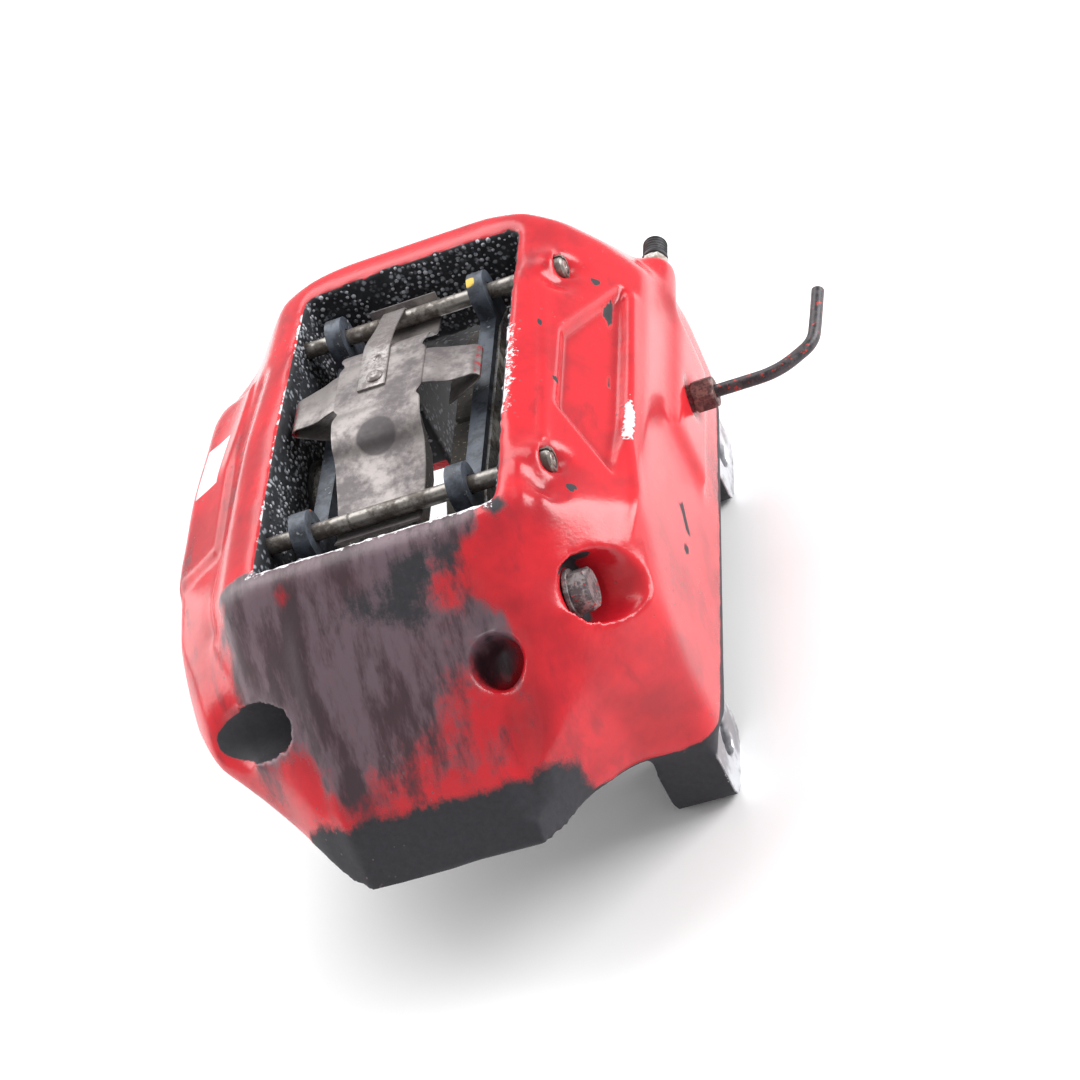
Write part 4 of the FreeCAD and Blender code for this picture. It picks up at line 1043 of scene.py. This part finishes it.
def hook_piece():
    """The hook plate with its tongue rolled over the far pin."""
    run = [(1.5, 10.85), (14, 10.85), (25, 10.85), (31, 9.9), (37, 8.4), (43.6, 6.7), (50.5, 4.95),
           (55.6, 3.75), (58.0, 2.8), (59.2, 1.2), (59.2, -0.8), (58.7, -1.9)]
    path = smooth_run(run, 0.9)
    taper = 0.9 * smoothstep(26, 44, path[:, 0])
    sides = np.stack([-10.7 + taper, -0.3 - taper], 1)
    plate = sheet_piece("hook_plate", path, sides, 0.8, "x")
    dimple = turned("dimple", rounded([(-0.3, 0), (-0.3, 1.2), (1.0, 2.2), (1.0, 0)], 0.3),
                    (RIVET_PLACE[0], 18, 10.9), "z", steps=24)
    return outward(cut_by(cut_by(plate, rivet_hole(10.85)), dimple))


def rivet_piece():
    profile = rounded([
        (8.25, 0), (8.25, 2.3), (8.95, 3), (9.55, 3), (9.55, 1.8), (11.3, 1.8), (11.3, 3),
        (11.8, 2.95), (12.6, 2.0), (12.75, 0.9), (12.4, 0)], 0.25)
    return turned("rivet", profile, RIVET_PLACE, "z", steps=32)


def bleed_pieces(side, centre, looks):
    """A bleed screw with its hexagon and hose barb, and the ribbed rubber cap over it."""
    steel, rubber = looks
    x, y, z = centre
    screw = turned("screw_" + side, rounded([
        (-13, 1), (-13, 1.6), (-10, 3.95), (0.35, 3.95), (0.4, 4.4), (0.9, 5.2), (4.7, 5.2),
        (5.4, 4.4), (5.4, 2.4), (9, 2.4), (10, 3.2), (15, 2.4), (15, 1)], 0.15, True),
        centre, "y", 9.0, (0.38, 5.42), 60, True)
    settle(screw, "bleed_%s_screw_body" % side, steel, ["bleed_screw_" + side])
    shell = turned("cap_shell", rounded([
        (0, 3.5), (0, 4.6), (0.5, 5.0), (1.6, 5.0), (2.3, 4.4), (10.6, 4.3), (12.2, 3.4), (13, 2.1), (13, 0),
        ], 0.4) + [(11.2, 0), (11.2, 3.4), (10.9, 3.5)], (x, y + 5.8, z), "y", steps=40, closed=True)
    ribs = grown("cap_ribs", rings_tree(), {
        "Count": 5, "Start": tuple(lay(x, y + 9.2, z)), "Pitch": (0, 1.7 * MM, 0), "Radius": 4.25 * MM,
        "Rib": 0.42 * MM, "Material": rubber})
    cap = joined([shell, ribs], "cap_" + side)
    settle(cap, "bleed_%s_cap_body" % side, rubber, ["bleed_cap_" + side])


PIPE_CORNERS = [(76, *PORT[1:]), (118, *PORT[1:]), (131.5, 49, -58), (133.5, 60, -56), (135.5, 74, -54)]


def pipe_run():
    """The pipe's middle line: straight runs joined by round bends."""
    corners = [np.array(corner, float) for corner in PIPE_CORNERS]
    run = [corners[0]]
    for before, corner, after in zip(corners, corners[1:], corners[2:]):
        reach = 0.45 * min(np.linalg.norm(before - corner), np.linalg.norm(after - corner))
        start = corner + reach * (before - corner) / np.linalg.norm(before - corner)
        end = corner + reach * (after - corner) / np.linalg.norm(after - corner)
        run += [bent(start, corner, end, share) for share in np.linspace(0, 1, 9)]
    return np.array([*run, corners[-1]])


# ---------------------------------------------------------------- settings and operators


def colour_setting(name, description, default):
    return bpy.props.FloatVectorProperty(
        name=name, description=description, default=default, size=3, subtype="COLOR")


def length_setting(name, description, millimetres):
    return bpy.props.FloatProperty(
        name=name, description=description, default=millimetres * MM, min=0.5 * MM,
        subtype="DISTANCE", unit="LENGTH", precision=4)


class CALIPER_PG_look(bpy.types.PropertyGroup):
    grain_size: length_setting("Grain size", "Cell size of the casting's surface mesh", 1.3)
    casting_rounds: bpy.props.IntProperty(
        name="Casting softness", description="How many times the cast skin is smoothed", default=34, min=0)
    casting_faces: bpy.props.IntProperty(
        name="Casting faces", description="Most triangles in the casting", default=190000, min=1000)
    enamel: colour_setting("Enamel", "Colour of the clean enamel", (0.66, 0.016, 0.026))
    enamel_dark: colour_setting("Aged enamel", "Colour of the aged enamel", (0.42, 0.011, 0.02))
    dust: colour_setting("Dust", "Colour of the brake dust", (0.125, 0.098, 0.118))
    granule_spacing: length_setting("Granule spacing", "Least distance between two oxide granules", 1.95)
    seed: bpy.props.IntProperty(name="Seed", description="Random order of the granules", default=7, min=0)
    lens: bpy.props.FloatProperty(
        name="Lens", description="Focal length of the camera", default=86.82, min=10.0, unit="CAMERA")


class CALIPER_OT_stage(bpy.types.Operator):
    """Sets the camera, the soft lights and the pale floor"""
    bl_idname = "caliper.stage"
    bl_label = "Stage"

    def execute(self, context):
        look = context.scene.caliper_look
        scene = context.scene
        data = bpy.data.cameras.new("camera")
        data.lens = look.lens
        data.sensor_width = 36.0
        camera = link(bpy.data.objects.new("camera", data))
        right = Vector((0.9198, 0.0426, -0.3902))
        ahead = Vector((-0.2785, 0.7713, -0.5723))
        up = right.cross(ahead)
        turn = Matrix((right, up, -ahead)).transposed().to_4x4()
        camera.matrix_world = Matrix.Translation(lay(280.4, -713.6, 458.9)) @ turn
        scene.camera = camera
        low = cad_bounds[0][2]
        floor = new_piece("floor", [(-4, -4, low), (4, -4, low), (4, 4, low), (-4, 4, low)], [(0, 1, 2, 3)])
        f = Finish("pale_floor")
        floor.data.materials.append(f.close(f.mix(f.noise(400.0), (0.93, 0.93, 0.94), (0.96, 0.96, 0.96)), 0.7))
        centre = lay(0, 0, -50)
        for name, place, size, power in (
            ("softbox_above", (-0.6, 0.8, 1.4), 1.5, 24.0),
            ("softbox_left", (-1.6, 0.5, 0.8), 1.3, 18.0),
            ("softbox_right", (1.5, 0.5, 0.75), 1.1, 34.0),
            ("fill_front", (-0.6, -1.6, 0.5), 1.2, 1.0),
        ):
            lamp = bpy.data.lights.new(name, "AREA")
            lamp.size = size
            lamp.energy = power
            holder = link(bpy.data.objects.new(name, lamp))
            spot = centre + Vector(place)
            turn = (centre - spot).to_track_quat("-Z", "Y").to_matrix().to_4x4()
            holder.matrix_world = Matrix.Translation(spot) @ turn
        world = bpy.data.worlds.new("studio")
        world.use_nodes = True
        world.node_tree.nodes["Background"].inputs[0].default_value = (1, 1, 1, 1)
        world.node_tree.nodes["Background"].inputs[1].default_value = 0.55
        scene.world = world
        scene.view_settings.view_transform = "Standard"
        return {"FINISHED"}


class CALIPER_OT_casting(bpy.types.Operator):
    """Makes the red casting"""
    bl_idname = "caliper.casting"
    bl_label = "Casting"

    def execute(self, context):
        look = context.scene.caliper_look
        piece = casting_piece(look)
        settle(piece, CALIPER, casting_finish(look), ["caliper_body"], 60)
        return {"FINISHED"}


class CALIPER_OT_pads(bpy.types.Operator):
    """Makes both pads, and finishes the shims and guide plates"""
    bl_idname = "caliper.pads"
    bl_label = "Pads"

    def execute(self, context):
        for side in ("outboard", "inboard"):
            pad_pieces(side)
        sheet = worn_metal("stainless_sheet", (0.55, 0.55, 0.56), (0.22, 0.19, 0.17))
        dress(["pad_shim_outboard", "pad_shim_inboard", "abutment_plates"], sheet)
        return {"FINISHED"}


class CALIPER_OT_pins(bpy.types.Operator):
    """Makes the two retaining pins, and finishes their sleeves"""
    bl_idname = "caliper.pins"
    bl_label = "Pins"

    def execute(self, context):
        steel = worn_metal("pin_steel", (0.3, 0.28, 0.26), (0.1, 0.082, 0.07), 9.0, 0.7, (0.3, 0.5), 0.5)
        for name, y in (("near", -PIN_Y), ("far", PIN_Y)):
            settle(pin_piece("pin_" + name, y), CALIPER, steel, ["retaining_pin_" + name])
        dress(["pin_sleeve_near", "pin_sleeve_far"], steel)
        return {"FINISHED"}


class CALIPER_OT_spring(bpy.types.Operator):
    """Makes the leaf spring, its hook plate and its rivet"""
    bl_idname = "caliper.spring"
    bl_label = "Pad spring"

    def execute(self, context):
        leaf = spring_finish()
        bright = worn_metal("hook_steel", (0.36, 0.335, 0.33), (0.17, 0.145, 0.14), 6.0, 0.7, (0.3, 0.5), 0.5)
        settle(spring_piece(), CALIPER, leaf, ["pad_spring"])
        settle(hook_piece(), CALIPER, bright, ["spring_hook"])
        settle(rivet_piece(), CALIPER, bright, ["spring_rivet"])
        return {"FINISHED"}


class CALIPER_OT_screws(bpy.types.Operator):
    """Makes the bleed screws with their caps, and the bolt with its washer"""
    bl_idname = "caliper.screws"
    bl_label = "Screws"

    def execute(self, context):
        steel = worn_metal("plated_steel", (0.62, 0.6, 0.56), (0.26, 0.2, 0.16), 4.0, 0.85, (0.25, 0.55), 0.5)
        rubber = rubber_finish("cap_rubber", (0.08, 0.08, 0.09))
        for side, seat in BLEED_SEATS.items():
            bleed_pieces(side, seat, (steel, rubber))
        grimy = worn_metal("grimy_steel", (0.34, 0.3, 0.3), (0.1, 0.075, 0.08), 4.0, 0.6, (0.4, 0.7), 0.48,
                           (0.35, 0.04, 0.04))
        bolt = turned("bolt", rounded([
            (-21, 0), (-21, 3), (-20, 3.95), (1.62, 3.95), (1.65, 6.9), (2.2, 7.5), (7.0, 7.5),
            (8.1, 6.1), (7.7, 5.4), (7.7, 0)], 0.2), BOLT_SEAT, "x", 13.0, (1.63, 8.1), 96)
        settle(bolt, CALIPER, grimy, ["bracket_bolt"])
        washer = turned("washer", rounded([(0, 4.05), (0, 8), (1.6, 8), (1.6, 4.05)], 0.3, True),
                        BOLT_SEAT, "x", closed=True)
        settle(washer, CALIPER, grimy, ["bolt_washer"])
        return {"FINISHED"}


class CALIPER_OT_pipe(bpy.types.Operator):
    """Makes the brake pipe and its nut"""
    bl_idname = "caliper.pipe"
    bl_label = "Brake pipe"

    def execute(self, context):
        brown = worn_metal("brown_nut", (0.22, 0.115, 0.1), (0.07, 0.035, 0.035), 4.0, 0.5, (0.4, 0.65), 0.5)
        nut = turned("tube_nut", rounded([
            (-11, 2.45), (-11, 4), (-10, 4.95), (0.4, 4.95), (0.5, 5.5), (1.1, 6.35), (7.4, 6.35), (8.5, 5.2),
            (8.5, 2.45)], 0.25, True), PORT, "x", 11.0, (0.45, 8.5), 96, True)
        settle(nut, CALIPER, brown, ["pipe_nut"])
        coat = worn_metal("coated_pipe", (0.02, 0.02, 0.024), (0.06, 0.05, 0.055), 5.0, 0.1, (0.3, 0.5), 0.52,
                          (0.4, 0.03, 0.02))
        settle(tube("pipe", pipe_run(), 2.38, 1.5), CALIPER, coat, ["brake_pipe"])
        return {"FINISHED"}


class CALIPER_OT_inner(bpy.types.Operator):
    """Finishes the pistons, seals and wipers"""
    bl_idname = "caliper.inner"
    bl_label = "Pistons and seals"

    def execute(self, context):
        alloy = worn_metal("piston_alloy", (0.66, 0.63, 0.56), (0.34, 0.3, 0.25), 8.0, 0.9, (0.25, 0.45), 0.55)
        seal = rubber_finish("seal_rubber", (0.03, 0.03, 0.03))
        names = ["%s_%s" % (side, place) for side in ("outboard", "inboard")
                 for place in ("leading", "middle", "trailing")]
        dress(["piston_" + name for name in names], alloy)
        dress([kind + name for kind in ("seal_", "wiper_") for name in names], seal)
        return {"FINISHED"}


class CALIPER_OT_granules(bpy.types.Operator):
    """Scatters oxide granules over the window's walls"""
    bl_idname = "caliper.granules"
    bl_label = "Oxide granules"

    def execute(self, context):
        look = context.scene.caliper_look
        crust = granule_finish()
        grains = grown("oxide_granules", granules_tree(), {
            "Skin": bpy.data.objects["caliper_casting"], "Spacing": look.granule_spacing,
            "Smallest": look.granule_spacing * 0.22, "Largest": look.granule_spacing * 0.55, "Seed": look.seed,
            "Material": crust})
        settle(grains, CALIPER, crust, (), 180)
        return {"FINISHED"}


STEPS = (CALIPER_OT_stage, CALIPER_OT_casting, CALIPER_OT_granules, CALIPER_OT_pads, CALIPER_OT_pins,
         CALIPER_OT_spring, CALIPER_OT_screws, CALIPER_OT_pipe, CALIPER_OT_inner)


class CALIPER_PT_panel(bpy.types.Panel):
    """Lists the caliper's build steps"""
    bl_idname = "CALIPER_PT_panel"
    bl_label = "Brake Caliper"
    bl_space_type = "VIEW_3D"
    bl_region_type = "UI"
    bl_category = "Caliper"

    def draw(self, context):
        for step in STEPS:
            self.layout.operator(step.bl_idname)


CLASSES = (CALIPER_PG_look, *STEPS, CALIPER_PT_panel)


def register():
    for item in CLASSES:
        bpy.utils.register_class(item)
    bpy.types.Scene.caliper_look = bpy.props.PointerProperty(type=CALIPER_PG_look)


def unregister():
    del bpy.types.Scene.caliper_look
    for item in reversed(CLASSES):
        bpy.utils.unregister_class(item)


def main():
    register()
    for step in STEPS:
        name = step.bl_idname.split(".")[1]
        getattr(bpy.ops.caliper, name)()


if __name__ == "__main__":
    main()
